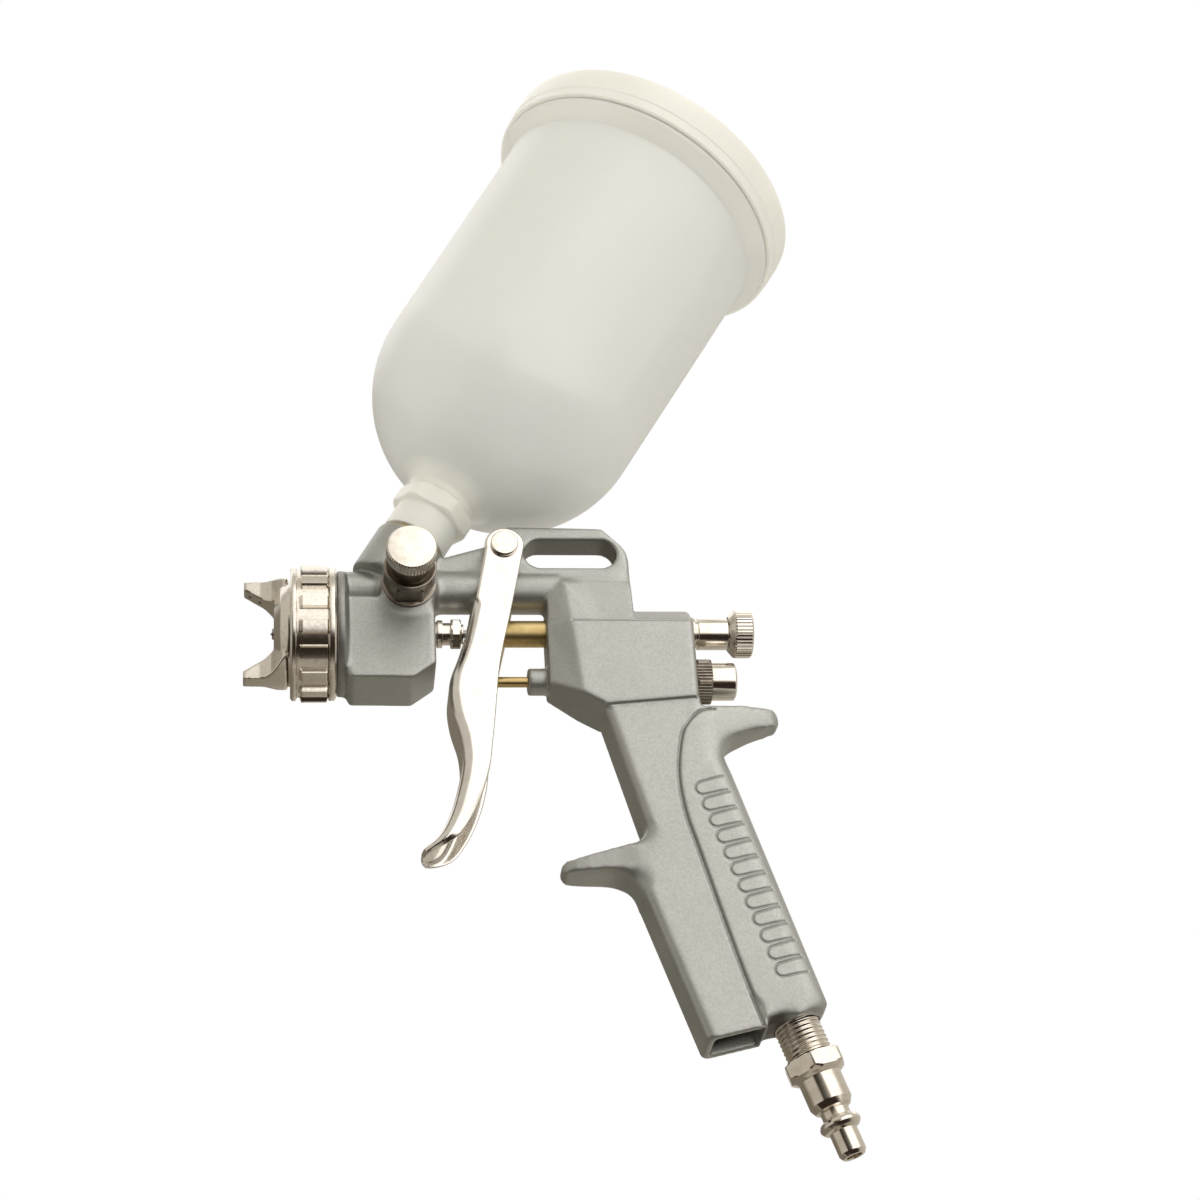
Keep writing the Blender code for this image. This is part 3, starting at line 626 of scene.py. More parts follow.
def body_solids():
    """Solid shapes that the casting is made of."""
    seat = [(-67, 0)] + rounded([
        (-67, 16.5), (-66.4, 17.2), (-58.2, 17.2, 0), (-58.2, 18.9, 0.3), (-55.7, 18.9, 0.5), (-55.2, 15),
    ], 0.3) + [(-55.2, 0)]
    cup_boss = [(-16.5, 0)] + rounded([(-16.5, 11.2), (0, 11.2), (0, 0)], 0.4)
    fan_boss = [(-6, 0), (-6, 8.3)] + rounded([(-6, 8.3), (11, 8.3), (11, 0)], 0.4)
    valve_boss = [(-1.5, 0)] + rounded([(-1.5, 0), (-1.5, 4.1), (7, 4.1)], 0.5) + [(7, 0)]
    lobe = [(30, 0), (30, 9)] + rounded([(30, 9), (62.4, 9), (62.4, 0)], 1.2)
    head = [(-56.4, 8.2), (-56.4, -15.3), (-54.4, -19.6), (-36, -19.8), (-29, -14.6), (-29, 8.2)]
    frame_plate = rounded([
        (-13.4, 12), (-13.4, 26.8), (-11.6, 29.6), (-6.4, 35.4), (23.2, 34.8), (28.9, 28.8), (30.4, 26.3),
        (30.9, 23.5), (30.9, 2), (6.2, 2), (6.2, 12, 0.2),
    ], 1.6, 4, True)
    fin = [(-44, 14), (-30, 23.6), (-13, 28.8), (-10, 29), (-10, 14)]
    block = tool("casting", loft([
        block_ring(4.5, 6.3, -20.2), block_ring(14.2, 9.7, -25.2, lean=2.6), block_ring(20.6, 9.7, -28.9),
        block_ring(47.6, 9.7, -26.4), block_ring(48.7, 9.7, -26.4, 1),
    ]))
    return block, [
        tool("shoulder", loft([
            both_sides([(4.7, 6.2, -0.6), (11.7, 9.6, -0.6), (20, 9.6, -0.6), (30.9, 9.6, -0.6)]),
            both_sides([(5, 5.4, 13), (10.2, 7.2, 14.6), (17, 5.9, 14.8), (30.9, 5.8, 15)]),
            both_sides([(6.4, 4.4, 16), (10, 4.9, 17.4), (17, 4.9, 18.4), (30.9, 4.9, 18.8)]),
        ])),
        tool("frame", plate(frame_plate, 5.1, 1.1)),
        tool("beam", rod(-57.5, 9.2, 6.5, 96), (0, 0, 14.2), ALONG_X),
        tool("fin", plate(fin, 4.0, 1.0)),
        tool("head", plate(rounded(head, 0.6, 3, True), 9.6, 0.9)),
        tool("seat", turned(seat, 128), (0, 0, 0), ALONG_X),
        tool("cup_boss", turned(cup_boss), CUP_SEAT, CUP_TURN),
        tool("fan_boss", turned(fan_boss), FAN_CENTRE, ALONG_Y),
        tool("lug", rod(-7.6, 7.6, 5.6, 64), PIVOT, ALONG_Y),
        tool("valve_boss", turned(valve_boss, 64), VALVE_PLACE, ALONG_X),
        handle_core(), grip_core(), finger_hook(), tail_hook(),
        tool("lobe", turned(lobe), INLET_ORIGIN, INLET_TURN),
    ]


def big_holes():
    """Openings with soft cast rims."""
    start, end = SLOT_X
    slot = arc(start, SLOT_Z, SLOT_RADIUS, 90, 270, 16) + arc(end, SLOT_Z, SLOT_RADIUS, -90, 90, 16)
    corners = rounded([(0, -6.4), (15.2, -6.4), (15.2, 6.4), (0, 6.4)], 1.8, 4, True)
    rings = []
    for depth, grow in ((-28, -0.6), (-1, 0), (6, 0.3)):
        ring = []
        for across, y in corners:
            spot = FOOT + depth * DOWN_HANDLE + (across + (grow if across > 6 else -grow)) * BACK_HANDLE
            ring.append((spot[0], y + math.copysign(grow, y), spot[1]))
        rings.append(ring)
    return [
        tool("slot", loft([[(x, y, z) for x, z in slot] for y in (-15, 15)])),
        tool("foot_hollow", loft(rings)),
    ]


def bores():
    """Machined holes, crisp."""
    cup_bore = [(-37, 0), (-37, 2.2), (-11.5, 2.2), (-11.5, 7.9), (1, 7.9), (1, 0)]
    front = [
        (-68, 0), (-68, 13.6), (-59, 13.6), (-59, 5), (-54.5, 5), (-54.5, 2.2), (-35, 2.2), (-35, 4),
        (-28, 4), (-28, 0),
    ]
    chamber = [
        (-2, 0), (-2, 1.9), (3.5, 1.9), (3.5, 3.2), (8.8, 3.2), (8.8, 5.2), (43, 5.2), (43, 5.4), (50, 5.4),
        (50, 0),
    ]
    return [
        tool("front", turned(front, 64), (0, 0, 0), ALONG_X),
        tool("sleeve_bore", rod(3, 50, 4.35), (0, 0, 0), ALONG_X),
        tool("chamber", turned(chamber, 48), VALVE_PLACE, ALONG_X),
        tool("cup_bore", turned(cup_bore, 64), CUP_SEAT, CUP_TURN),
        tool("fan_bore", rod(1, 12, 4), FAN_CENTRE, ALONG_Y),
        *(tool("duct", rod(-60, 11.5, 1.4, 24), (0, y, 14.8), ALONG_X) for y in (-4.3, 4.3)),
        tool("pivot_bore", rod(-9, 9, 2.1, 32), PIVOT, ALONG_Y),
        tool("handle_duct", rod(-50, 50, 3.4, 32), INLET_ORIGIN, INLET_TURN),
        tool("inlet_bore", rod(48, 70, 6.9, 64), INLET_ORIGIN, INLET_TURN),
    ]


def groove_lines():
    """Grooves in the casting's sides: (points, half width, depth), in mm."""
    parting = smooth_line([
        (52.8, -29.7), (50.2, -29.9), (48.2, -30.7), (46.5, -32.1), (44.2, -34.8), (42.2, -39), (40.5, -50.9),
        (41.6, -63.5), (44.8, -76.4), (53.6, -110.4), (59.3, -129.6),
    ], 10)
    lines = [
        (parting, 0.62, 0.60), ([(12, -0.2), (47.6, -0.3)], 0.42, 0.30),
        ([(20.8, -28.9), (47.4, -26.5)], 0.42, 0.32),
    ]
    slant = math.radians(13.0)
    up = np.array([-math.sin(slant), math.cos(slant)])
    back = np.array([math.cos(slant), math.sin(slant)])
    first, last = np.array([45.1, -56.7]), np.array([63.6, -113.5])
    grooves, reach, round_end = 12, 9.2, 2.05
    for n in range(grooves):
        left = first + (last - first) * n / (grooves - 1)
        middle = left + back * round_end
        turns = [math.radians(90 + 180 * k / 12) for k in range(13)]
        bend = [middle + round_end * (math.cos(t) * back + math.sin(t) * up) for t in turns]
        top = left + back * reach + up * (round_end + 0.45)
        bottom = left + back * reach - up * (round_end + 0.05)
        lines.append(([top] + bend + [bottom], 0.42, 0.34))
    return lines


def distance_to(points, line):
    """Distance of each XZ point to a polyline."""
    line = np.array(line, float)
    best = np.full(len(points), np.inf)
    for a, b in zip(line, line[1:]):
        along = b - a
        t = np.clip(((points - a) @ along) / (along @ along), 0, 1)
        best = np.minimum(best, np.linalg.norm(points - (a + t[:, None] * along), axis=1))
    return best


def values_of(items, what, width=3, kind=float):
    values = np.empty(len(items) * width, kind)
    items.foreach_get(what, values)
    return values.reshape(-1, width)


def coordinates(mesh):
    return values_of(mesh.vertices, "co") / MM


def set_coordinates(mesh, points):
    mesh.vertices.foreach_set("co", (points * MM).ravel())
    mesh.update()


def relax(mesh, weights, rounds, axes=(0, 1, 2)):
    """Laplacian smoothing along these axes, with a strength for each vertex."""
    points = coordinates(mesh)
    a, b = values_of(mesh.edges, "vertices", 2, int).T
    size = len(points)
    count = np.bincount(a, minlength=size) + np.bincount(b, minlength=size)
    for _ in range(rounds):
        for k in axes:
            total = np.bincount(a, points[b, k], size) + np.bincount(b, points[a, k], size)
            points[:, k] += (total / count - points[:, k]) * weights
    set_coordinates(mesh, points)


FILLETS = (  # places where the casting has large soft corners: x, z and radius
    (56.5, -38, 12), (62, -35.5, 7), (29, -70, 5), (27.5, -84, 4.5), (-36, 13, 13), (-14, 19, 6),
    (33, -75, 6), (64.5, -125.5, 4.5), (74.5, -123.5, 4),
)
SOFT_SIDES = (  # places where only its sides are smoothed, so that the outline stays
    (48.6, -31.2, 4.0), (67.0, -32.0, 7.0), *((x, 16.8, 3.6) for x in range(12, 31, 2)),
)
SOFTEN_ROUNDS = 70
SOFTEN_STRENGTH = 0.5


def spots(points, places):
    """Full strength at these places, falling to 0 at their radius, and 0 on the machined front."""
    weights = np.zeros(len(points))
    for x, z, radius in places:
        away = np.hypot(points[:, 0] - x, points[:, 2] - z) / radius
        weights = np.maximum(weights, np.clip(1.4 - 1.4 * away, 0, 1))
    weights[points[:, 0] < MACHINED_X] = 0
    return weights * SOFTEN_STRENGTH


def soften_corners(mesh):
    points = coordinates(mesh)
    relax(mesh, spots(points, FILLETS), SOFTEN_ROUNDS)
    relax(mesh, spots(points, SOFT_SIDES), SOFTEN_ROUNDS, axes=(1,))


def carve(mesh):
    """Presses the grooves into both sides of the casting, on a mesh made finer along them."""
    lines = groove_lines()
    points = coordinates(mesh)
    flat = points[:, [0, 2]]
    near = np.zeros(len(points), bool)
    for line, half, _ in lines:
        near |= distance_to(flat, line) < 2.2 * half + 0.5
    near &= np.abs(points[:, 1]) > SIDE_Y
    work = bmesh.new()
    work.from_mesh(mesh)
    work.verts.ensure_lookup_table()
    faces = [f for f in work.faces if all(near[v.index] for v in f.verts)]
    edges = list({e for f in faces for e in f.edges})
    bmesh.ops.subdivide_edges(work, edges=edges, cuts=2, use_grid_fill=True)
    bmesh.ops.triangulate(work, faces=[f for f in work.faces if len(f.verts) > 4])
    work.to_mesh(mesh)
    work.free()
    points = coordinates(mesh)
    normals = values_of(mesh.vertices, "normal")
    side = np.clip((np.abs(normals[:, 1]) - 0.35) / 0.4, 0, 1)
    side *= np.clip((np.abs(points[:, 1]) - 6.5) / 1.0, 0, 1)
    flat = points[:, [0, 2]]
    depth = np.zeros(len(points))
    for line, half, deep in lines:
        depth = np.maximum(depth, deep * np.exp(-(distance_to(flat, line) / half) ** 2 * 1.6))
    points -= normals * (depth * side)[:, None]
    set_coordinates(mesh, points)


def painted_shade(mesh):
    """Paints shade into the casting's colour where it lies in shadow: inside its openings and along its
    grooves.
    """
    points = coordinates(mesh)
    flat = points[:, [0, 2]]
    dark = np.zeros(len(points))
    # painted shade along the grooves, stronger along the wide parting line
    for line, half, _ in groove_lines():
        near = (0.34 if half > 0.5 else 0.16) * np.exp(-(distance_to(flat, line) / half) ** 2)
        dark = np.maximum(dark, near * (np.abs(points[:, 1]) > SIDE_Y))
    # painted shade in the hollow of the foot, deeper further in, and on the lobe behind it that the nipple
    # screws into
    depth = -(flat - FOOT) @ DOWN_HANDLE
    across = (flat - FOOT) @ BACK_HANDLE
    inside = (across > -0.8) & (across < 16.4) & (np.abs(points[:, 1]) < 6.9) & (depth < 30)
    dark = np.maximum(dark, inside * np.clip((depth - 0.4) / 2.5, 0, 0.93))
    lobe = np.clip((across - 15.2) / 1.0, 0, 1) * np.clip((23.0 - across) / 3.0, 0, 1)
    dark = np.maximum(dark, 0.75 * lobe * np.clip((0.7 - depth) / 1.6, 0, 1))
    # painted shade on the machined seat, and inside the hanging slot
    dark = np.maximum(dark, 0.30 * (points[:, 0] < -55.1))
    from_slot = np.hypot(flat[:, 0] - np.clip(flat[:, 0], *SLOT_X), flat[:, 1] - SLOT_Z)
    dark = np.maximum(dark, 0.45 * (from_slot < 5.3) * (flat[:, 0] < 28) * (np.abs(points[:, 1]) < 4.6))
    layer = mesh.attributes.new("painted_shade", "FLOAT", "POINT")
    layer.data.foreach_set("value", dark)


def build_body():
    block, solids = body_solids()
    body = solve(block, solids, "UNION")
    body = solve(body, big_holes(), "DIFFERENCE")
    body = remeshed(body, voxel=0.58, smoothing=5)
    soften_corners(body.data)
    carve(body.data)
    body = solve(body, bores(), "DIFFERENCE")
    painted_shade(body.data)
    finish_piece(body, "casting", CAST, "gun", "cast_body", "gun_body", sharp=50)


# --- air cap end ---
def build_air_cap():
    profile = [(-76.8, 2.1)] + rounded([
        (-76.8, 2.1), (-76.8, 9.8), (-74.8, 13.8, 2), (-72.5, 15.8, 0.8), (-70.3, 15.8, 0.3), (-70.3, 16.9),
        (-68.3, 16.9), (-68.3, 15), (-74, 7), (-75.2, 5), (-75.2, 2.1),
    ], 0.25)
    cap = tool("cap", turned(profile, 128), (0, 0, 0), ALONG_X)
    arms = []
    for side in (1, -1):
        outline = [
            (-85.8, side * 16.7), (-85.8, side * 13.8), (-76.8, side * 8.2), (-75.0, side * 8.2),
            (-73.0, side * 13.0), (-72.7, side * 16.7),
        ]
        arm = tool("arm", plate(outline, 12.0, 0.1, steps=1))
        plan = [(-87, 2.5), (-80.5, 2.7), (-79.4, 3), (-77.6, 4.6), (-76, 7), (-74.2, 9.6), (-72.2, 11.6)]
        rim = tool("arm_rim", rod(-90, -70, 16.7, 128), (0, 0, 0), ALONG_X)
        arms.append(solve(arm, [plan_limit(plan, -20, 20), rim], "INTERSECT"))
    cap = remeshed(solve(cap, arms, "UNION"), voxel=0.26, smoothing=7)
    holes = []
    slant = math.radians(38)
    for side in (1, -1):
        for x in (-82.6, -79.6):
            turn = (0, math.radians(180 if side > 0 else 0) + side * slant, 0)
            height = side * 14.4 - side * (x + 82.6) * 0.6
            holes.append(tool("jet", rod(-0.2, 5.5, 0.45, 20), (x, 0, height), turn))
    for angle in range(0, 360, 60):
        turn = math.radians(angle + 30)
        place = (-78.0, 4.6 * math.cos(turn), 4.6 * math.sin(turn))
        holes.append(tool("vent", rod(0, 4.5, 0.42, 20), place, ALONG_X))
    cap = solve(cap, holes, "DIFFERENCE")
    finish_piece(cap, "air_cap_visible", PLATED, "air_cap", "plated_fittings", "air_cap", sharp=45)


def eased(t):
    t = min(1.0, max(0.0, t))
    return 3 * t ** 2 - 2 * t ** 3


def build_ring():
    ribs, per_rib = 16, 24

    def ribbed(z, angle):
        across = abs((angle * ribs / (2 * math.pi)) % 1 - 0.5)
        lift = eased((across - 0.21) / 0.07) * eased((4.3 - abs(z + 64.9)) / 0.6)
        return 19.0 + 1.5 * lift

    middle = [(-69.9 + 0.25 * n, 30.0, ribbed) for n in range(37)]
    front = rounded([(-71.4, 16.4), (-72, 17.3), (-72, 19.2), (-71.4, 20), (-70.3, 20), (-69.9, 19)], 0.35)
    rear = rounded([
        (-60.9, 19), (-60.4, 20), (-58.9, 20), (-58.3, 19.2), (-58.3, 17.5), (-70.6, 17.5), (-70.6, 16.4),
    ], 0.3)
    ring = turned(front + middle + rear, ribs * per_rib)
    piece("cap_ring", ring, PLATED, "air_cap_ring", body="air_cap_ring")


def build_nozzle():
    profile = rounded([
        (-77.4, 1.15), (-77.4, 1.6), (-74.5, 2.2), (-70, 5), (-66.5, 6.2), (-61.5, 6.2), (-61.5, 7.4),
        (-60, 7.4), (-60, 4.7), (-55, 4.7), (-55, 2.4), (-73, 2.4),
    ], 0.12)
    profile = with_form(profile, hexagon(6.9), -66.6, -61.5)
    piece("nozzle", turned(profile), STEEL, "fluid_nozzle", slot="steel_parts")


# --- needle group ---
def build_needle_group():
    nut = rounded([
        (-33, 1.9), (-33, 3.7), (-28.2, 3.7), (-28.2, 4.2), (-26.6, 4.2), (-26.6, 3.4), (-24.2, 3.4),
        (-24, 4.4), (-23.5, 5), (-21.6, 5), (-21.1, 4.4), (-20.9, 3), (-20.3, 3), (-20.3, 1.9),
    ], 0.12)
    nut = with_form(nut, hexagon(5.1), -24.05, -21.05)
    piece("gland_nut", turned(nut), NICKEL, "packing_nut")
    sleeve = rounded([(-16.4, 1.5), (-16.4, 4.05, 0.35), (24, 4.05, 0.3), (24, 1.5)], 0.1)
    piece("sleeve", turned(sleeve), SATIN_BRASS, "needle_sleeve", body="needle", slot="brass_parts")
    needle = [(-77.8, 0), (-77.8, 0.35), (-72, 1.2), (52, 1.2), (52, 0)]
    piece("needle", turned(needle, 40), STEEL, "fluid_needle", body="needle", slot="steel_parts")
    bushing = rounded([
        (46.4, 3.5), (46.4, 4), (49, 4), (49, 5.2, 0.25), (49.9, 5.2, 0.25), (50, 4.3), (50.8, 4.3),
        (50.9, 4.8, 0.2), (60, 4.8, 0.3), (60, 3.5),
    ], 0.1)
    piece("knob_bushing", turned(bushing), NICKEL, "fluid_knob_bushing")
    knob = [(64, 0), (64, 1.7), (43.3, 1.7), (43.3, 3.2), (60.3, 3.2)] + rounded([
        (60.3, 3.2), (60.3, 5.3), (61.7, 6.9), (62.3, 7.25), (66.9, 7.25), (67.4, 6.7), (67.4, 0),
    ], 0.22)
    knob = with_form(knob, knurl(7.35, 40, 0.36), 60.4, 67.41)
    piece("knob", turned(knob, 400), NICKEL, "fluid_knob", body="fluid_knob")


def build_air_valve():
    stem = [(-21.2, 0)] + rounded([
        (-21.2, 0), (-21.2, 1.6, 0.3), (12.5, 1.6), (12.5, 3.2), (14.5, 3.2), (14.5, 1.2), (17, 1.2), (17, 0),
    ], 0.12)
    piece("stem", turned(stem, 64), BRASS, "air_valve_stem", VALVE_PLACE, body="air_stem", slot="brass_parts")
    corner = 7.75
    ridged, six_sided = knurl(corner, 42, 0.3), hexagon(corner)
    nut = rounded([(49, 5), (49, 6.9), (49.6, corner), (53, corner), (53.6, 6.9), (53.6, 5)], 0.15)
    nut = with_form(nut, lambda z, angle: six_sided(z, angle) * ridged(z, angle) / corner, 49.0, 53.65)
    plug = [(43.8, 0)] + rounded([
        (43.8, 0), (43.8, 5.1), (48.9, 5.1), (48.9, 4.7), (53.7, 4.7), (53.7, 5.7), (60.7, 5.7, 0.5),
        (61.2, 4.9), (61.2, 2.4), (59, 2.4), (59, 0),
    ], 0.15)
    for name, profile, steps, finish in (
        ("valve_plug_hex", nut, 336, DARK_NICKEL), ("valve_plug_barrel", plug, 96, NICKEL),
    ):
        piece(name, turned(profile, steps), finish, "air_valve_plug", VALVE_PLACE)


# --- trigger ---
TRIGGER_FRONT = [
    (-17.6, 7.2), (-19.1, 0.4), (-20.6, -6), (-22.7, -12.6), (-24.8, -18.4), (-25.5, -23.6), (-24.7, -30.6),
    (-22.6, -39), (-22.4, -47.5), (-24.6, -58), (-27, -65), (-30, -70.2), (-34.6, -73.2),
]
TRIGGER_REAR = [
    (-5.4, 7.2), (-6.9, 0.4), (-8.4, -6), (-9.8, -12.6), (-10.8, -18.8), (-11.4, -24.7), (-12.2, -32.2),
    (-13.3, -41), (-14.4, -49), (-17, -58), (-20.5, -65.4), (-25.4, -71.6), (-33.8, -75),
]
TRIGGER_HALF = 9.5
TIP_HALF = 3.2
TIP_ROUND = 8.0  # length of the finger end that narrows to a round tip
SHEET_MM = 1.5
ROLL_FROM = -44.0  # the flanges' edges roll in more and more below this


def channel_section(front, rear, wide, roll):
    """Closed section of the bent sheet, from its finger face back to the flange edges, which roll in."""
    depth = float(np.linalg.norm(rear - front))
    along = (rear - front) / depth
    bend = min(3.0, depth * 0.8, wide * 0.8)
    thick = min(SHEET_MM, depth * 0.5)
    inner = max(bend - SHEET_MM, 0.25)
    roll = min(roll, depth * 0.4)
    lip = wide - min(0.55 * roll, 1.0)
    quarter = np.linspace(0, math.pi / 2, 8)
    near = [(bend - bend * math.sin(t), bend - bend * math.cos(t) - wide) for t in quarter]
    outer = [(depth - roll, -wide)] + near + [(d, -y) for d, y in near[::-1]] + [(depth - roll, wide)]
    middle = thick + inner
    bottom = wide - SHEET_MM - inner
    far = [(middle - inner * math.sin(t), bottom + inner * math.cos(t)) for t in quarter]
    back = [(depth, lip), (depth, wide - SHEET_MM + 0.4), (depth - 0.3, wide - SHEET_MM)] + far
    back += [(d, -y) for d, y in back[::-1]]
    return [(front[0] + along[0] * d, y, front[1] + along[1] * d) for d, y in outer + back]


def build_trigger():
    front = np.array(smooth_line(TRIGGER_FRONT, 6))
    rear = np.array(smooth_line(TRIGGER_REAR, 6))
    sections = []
    for f, r in zip(front, rear):
        to_tip = min(1.0, float(np.linalg.norm(f - front[-1])) / TIP_ROUND)
        wide = TIP_HALF + (TRIGGER_HALF - TIP_HALF) * math.sqrt(1 - (1 - to_tip) ** 2)
        sections.append(channel_section(f, r, wide, 0.3 + max(0.0, ROLL_FROM - f[1]) * 0.09))
    channel = tool("channel", loft(sections))
    outline = [(-6.35, 3), (-5.3, 7.7)] + arc(PIVOT[0], PIVOT[2], 5.95, -12, 192, 28)
    outline += [(-16.7, 7.4), (-14.9, 3)]
    ears = [
        tool("ear", plate(outline, SHEET_MM / 2, 0.3, steps=2), (0, side * (TRIGGER_HALF - SHEET_MM / 2), 0))
        for side in (-1, 1)
    ]
    trigger = remeshed(solve(channel, ears, "UNION"), voxel=0.28, smoothing=6)
    slot = rounded([(-30, -4.6), (-10, -4.6), (-10, 4.6), (-30, 4.6)], 0.5, 3, True)
    cuts = [
        tool("needle_slot", loft([[(x, y, z) for x, z in slot] for y in (-2, 2)])),
        tool("ear_bore", rod(-12, 12, 2.1, 40), PIVOT, ALONG_Y),
    ]
    trigger = solve(trigger, cuts, "DIFFERENCE")
    finish_piece(trigger, "trigger_visible", SHEET, "trigger", "polished_trigger", "trigger", sharp=50)
    screw = [(-11.6, 0), (-11.6, 1.8), (9.6, 1.8)] + rounded([
        (9.6, 1.8, 0), (9.6, 4.2), (10.5, 4.2), (10.8, 3.9), (10.8, 0),
    ], 0.2)
    nut = rounded([(-11.8, 2.1), (-11.8, 3.8), (-11.4, 4.4), (-9.8, 4.4), (-9.8, 2.1)], 0.12)
    nut = with_form(nut, hexagon(4.6), -12, -9.8)
    for name, profile, steps in (("screw", screw, 80), ("nut", nut, 96)):
        piece(f"pivot_{name}", turned(profile, steps), NICKEL, f"trigger_pivot_{name}", PIVOT, ALONG_Y,
              slot="polished_trigger")


# --- pattern valve ---
def build_fan_valve():
    body = rounded([
        (4, 2.6), (4, 3.7), (11.3, 3.7), (11.3, 8.1), (12, 8.1), (12.2, 7), (12.8, 7.8), (18.2, 7.8),
        (18.8, 7), (18.9, 6.6), (19.4, 6.6), (19.5, 7.7), (21.6, 7.8), (21.8, 7.3), (20.8, 5.7), (26.2, 5.5),
        (26.2, 2.6),
    ], 0.18)
    body = with_form(body, hexagon(8.0), 12.15, 18.85)
    piece("fan_body", turned(body, 120), DARK_NICKEL, "fan_valve_body", FAN_CENTRE, ALONG_Y)
    knob = [(28, 0)] + rounded([(28, 0), (28, 6.8), (28.4, 7.45), (32.5, 7.45), (33, 7), (33, 0)], 0.2)
    knob = with_form(knob, knurl(7.5, 46, 0.36), 28.1, 32.95)
    piece("fan_knob", turned(knob, 368), NICKEL, "fan_valve_knob", FAN_CENTRE, ALONG_Y, body="pattern_knob")


# --- cup ---
def build_cup():
    adapter = rounded([
        (-74.5, 4.5), (-74.5, 7.5), (-63.7, 7.5), (-63.7, 9.8, 0.25), (-62.9, 9.8, 0.25), (-62.9, 7.5),
        (-52, 7.5), (-52, 4.5),
    ], 0.1)
    piece("adapter", turned(adapter), BRASS, "cup_adapter", CUP_CENTRE, CUP_TURN, slot="brass_parts")
    wall, radius, top = 1.6, 43.3, 44.7
    outside = rounded([
        (-62.4, 10.4, 0.3), (-53.4, 10.4, 1.2), (-52.6, 12.6, 0.8), (-48, 12.6, 0.8), (-46.8, 11.2, 1.5),
        (-44.6, 11.4),
    ], 0.4, 5)
    outside += smooth_line([(-44.6, 11.4), (-42.3, 13.2), (-40.3, 15.8)], 6)[1:-1]
    outside += [(-radius * math.cos(t), radius * math.sin(t)) for t in np.radians(np.linspace(21.4, 90, 40))]
    outside += [(28, 43.75), (56, 44.2)]
    outside += rounded([
        (80, 44.5), (81.8, 44.7, 1.2), (86.6, 48.7, 1), (87.9, 48.9, 0.4), (87.9, 44.7, 0.4),
    ], 0.4)
    outside += [(97.2, top), (97.5, top - 0.3)]
    inside = [(97.5, top - wall + 0.3), (97.2, top - wall)]
    inner = radius - wall
    inside += [(-inner * math.cos(t), inner * math.sin(t)) for t in np.radians(np.linspace(90, 12, 36))]
    inside += [(-50.5, 5), (-50.5, 7.8), (-62.4, 7.8)]
    shell = turned(with_form(outside, hexagon(13.2), -52.9, -47.4) + inside, 192)
    piece("cup_shell", shell, MILKY, "cup", CUP_CENTRE, CUP_TURN, 60, slot="milky_plastic")


def build_lid():
    tabs = 12

    def skirt(z, angle):
        part = (angle * tabs / (2 * math.pi)) % 1
        seam = math.exp(-((part - 0.5) / 0.012) ** 2)
        return 50.7 - 0.3 * seam - (0.3 if z < 91.4 else 0.0)

    outer = [(101, 0), (101, 30), (100.95, 44)] + rounded([
        (100.95, 44), (101, 48.6, 0.8), (99.7, 50.5, 1), (98, 50.65),
    ], 0.8, 5)
    outer += rounded([
        (98, 50.65), (91.6, 50.6, 0.1), (91.3, 50.3, 0.1), (88.2, 50.3, 0.35), (88.2, 46.8, 0.3),
    ], 0.2)
    outer += [(98, 47.4), (98, 40), (99, 40), (99, 0)]
    lid = turned(with_form(outer, skirt, 88.3, 99.6), 240)
    piece("lid", lid, LID, "cup_lid", CUP_CENTRE, CUP_TURN, 50, "cup_lid", "milky_plastic")


# --- air inlet ---
def build_inlet():
    form = thread(6.6, 1.337, 0.42)
    shaft = [(56.0 + 0.12 * n, 6.6, form) for n in range(136)]
    nipple = [(50, 3.4), (50, 6.1), (50.6, 6.6)] + shaft
    nipple += [(72.4, 6.1), (72.6, 5.6), (78, 4.8), (78, 3.4)]
    plug = rounded([
        (73, 7), (73, 8.4), (73.5, 9), (77, 9), (77.6, 8.2), (78.2, 7.4), (79, 6.2), (86.6, 6.2, 0.7),
        (88.4, 5.2), (89, 4.1), (91.1, 4.1), (92, 5.5, 0.5), (92.9, 5.95, 0.5), (93.6, 5.95, 0.5),
        (94.6, 5.2, 0.5), (95.2, 4), (101.6, 4, 0.9), (102.8, 3.2), (102.8, 2.3), (80, 2.3), (80, 5.2),
        (77.6, 5.2),
    ], 0.25, 5)[:-1]
    plug = with_form(plug, hexagon(9.2, math.radians(-16.7)), 73.0, 77.9)
    for name, profile, steps, slot, node in (
        ("inlet_thread", nipple, 96, "plated_fittings", "inlet_nipple"),
        ("hose_plug", plug, 120, "steel_parts", "quick_plug"),
    ):
        piece(name, turned(profile, steps), NICKEL, node, INLET_ORIGIN, INLET_TURN, slot=slot)


# --- springs ---
SPRING_WIRE_R = 0.4


def coil(start, end, radius, wire, turns):
    """Compression spring along local X from wire of this radius, its end turns wound close."""
    steps, sides = 32, 10
    closed = 2.2 * wire
    stations = [0, 1, turns - 1, turns]
    places = [start + wire, start + wire + closed, end - wire - closed, end - wire]
    rings = []
    for n in range(turns * steps + 1):
        turn = 2 * math.pi * n / steps
        out = Vector((0, math.cos(turn), math.sin(turn)))
        centre = radius * out + Vector((float(np.interp(n / steps, stations, places)), 0, 0))
        angles = [2 * math.pi * k / sides for k in range(sides)]
        rings.append([centre + wire * (math.cos(a) * out + Vector((math.sin(a), 0, 0))) for a in angles])
    return loft(rings)


def build_springs():
    """Both springs, each put with the body that it rests on."""
    springs = (  # name, body that it rests on, start, end, radius, turns, height, travel
        ("needle_spring", "fluid_adjuster", 24.3, 41.5, 3.3, 7, 0.0, 5.6),
        ("air_valve_spring", "gun", 14.8, 43.5, 4.2, 8, STEM_Z, 9.2),
    )
    for name, body, start, end, radius, turns, height, travel in springs:
        wound = coil(start, end, radius, SPRING_WIRE_R, turns)
        obj = piece(
            f"{name}_visible", wound, STEEL, name, (0, 0, height), (0, 0, 0), body=body, slot="steel_parts",
        )
        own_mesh(obj)


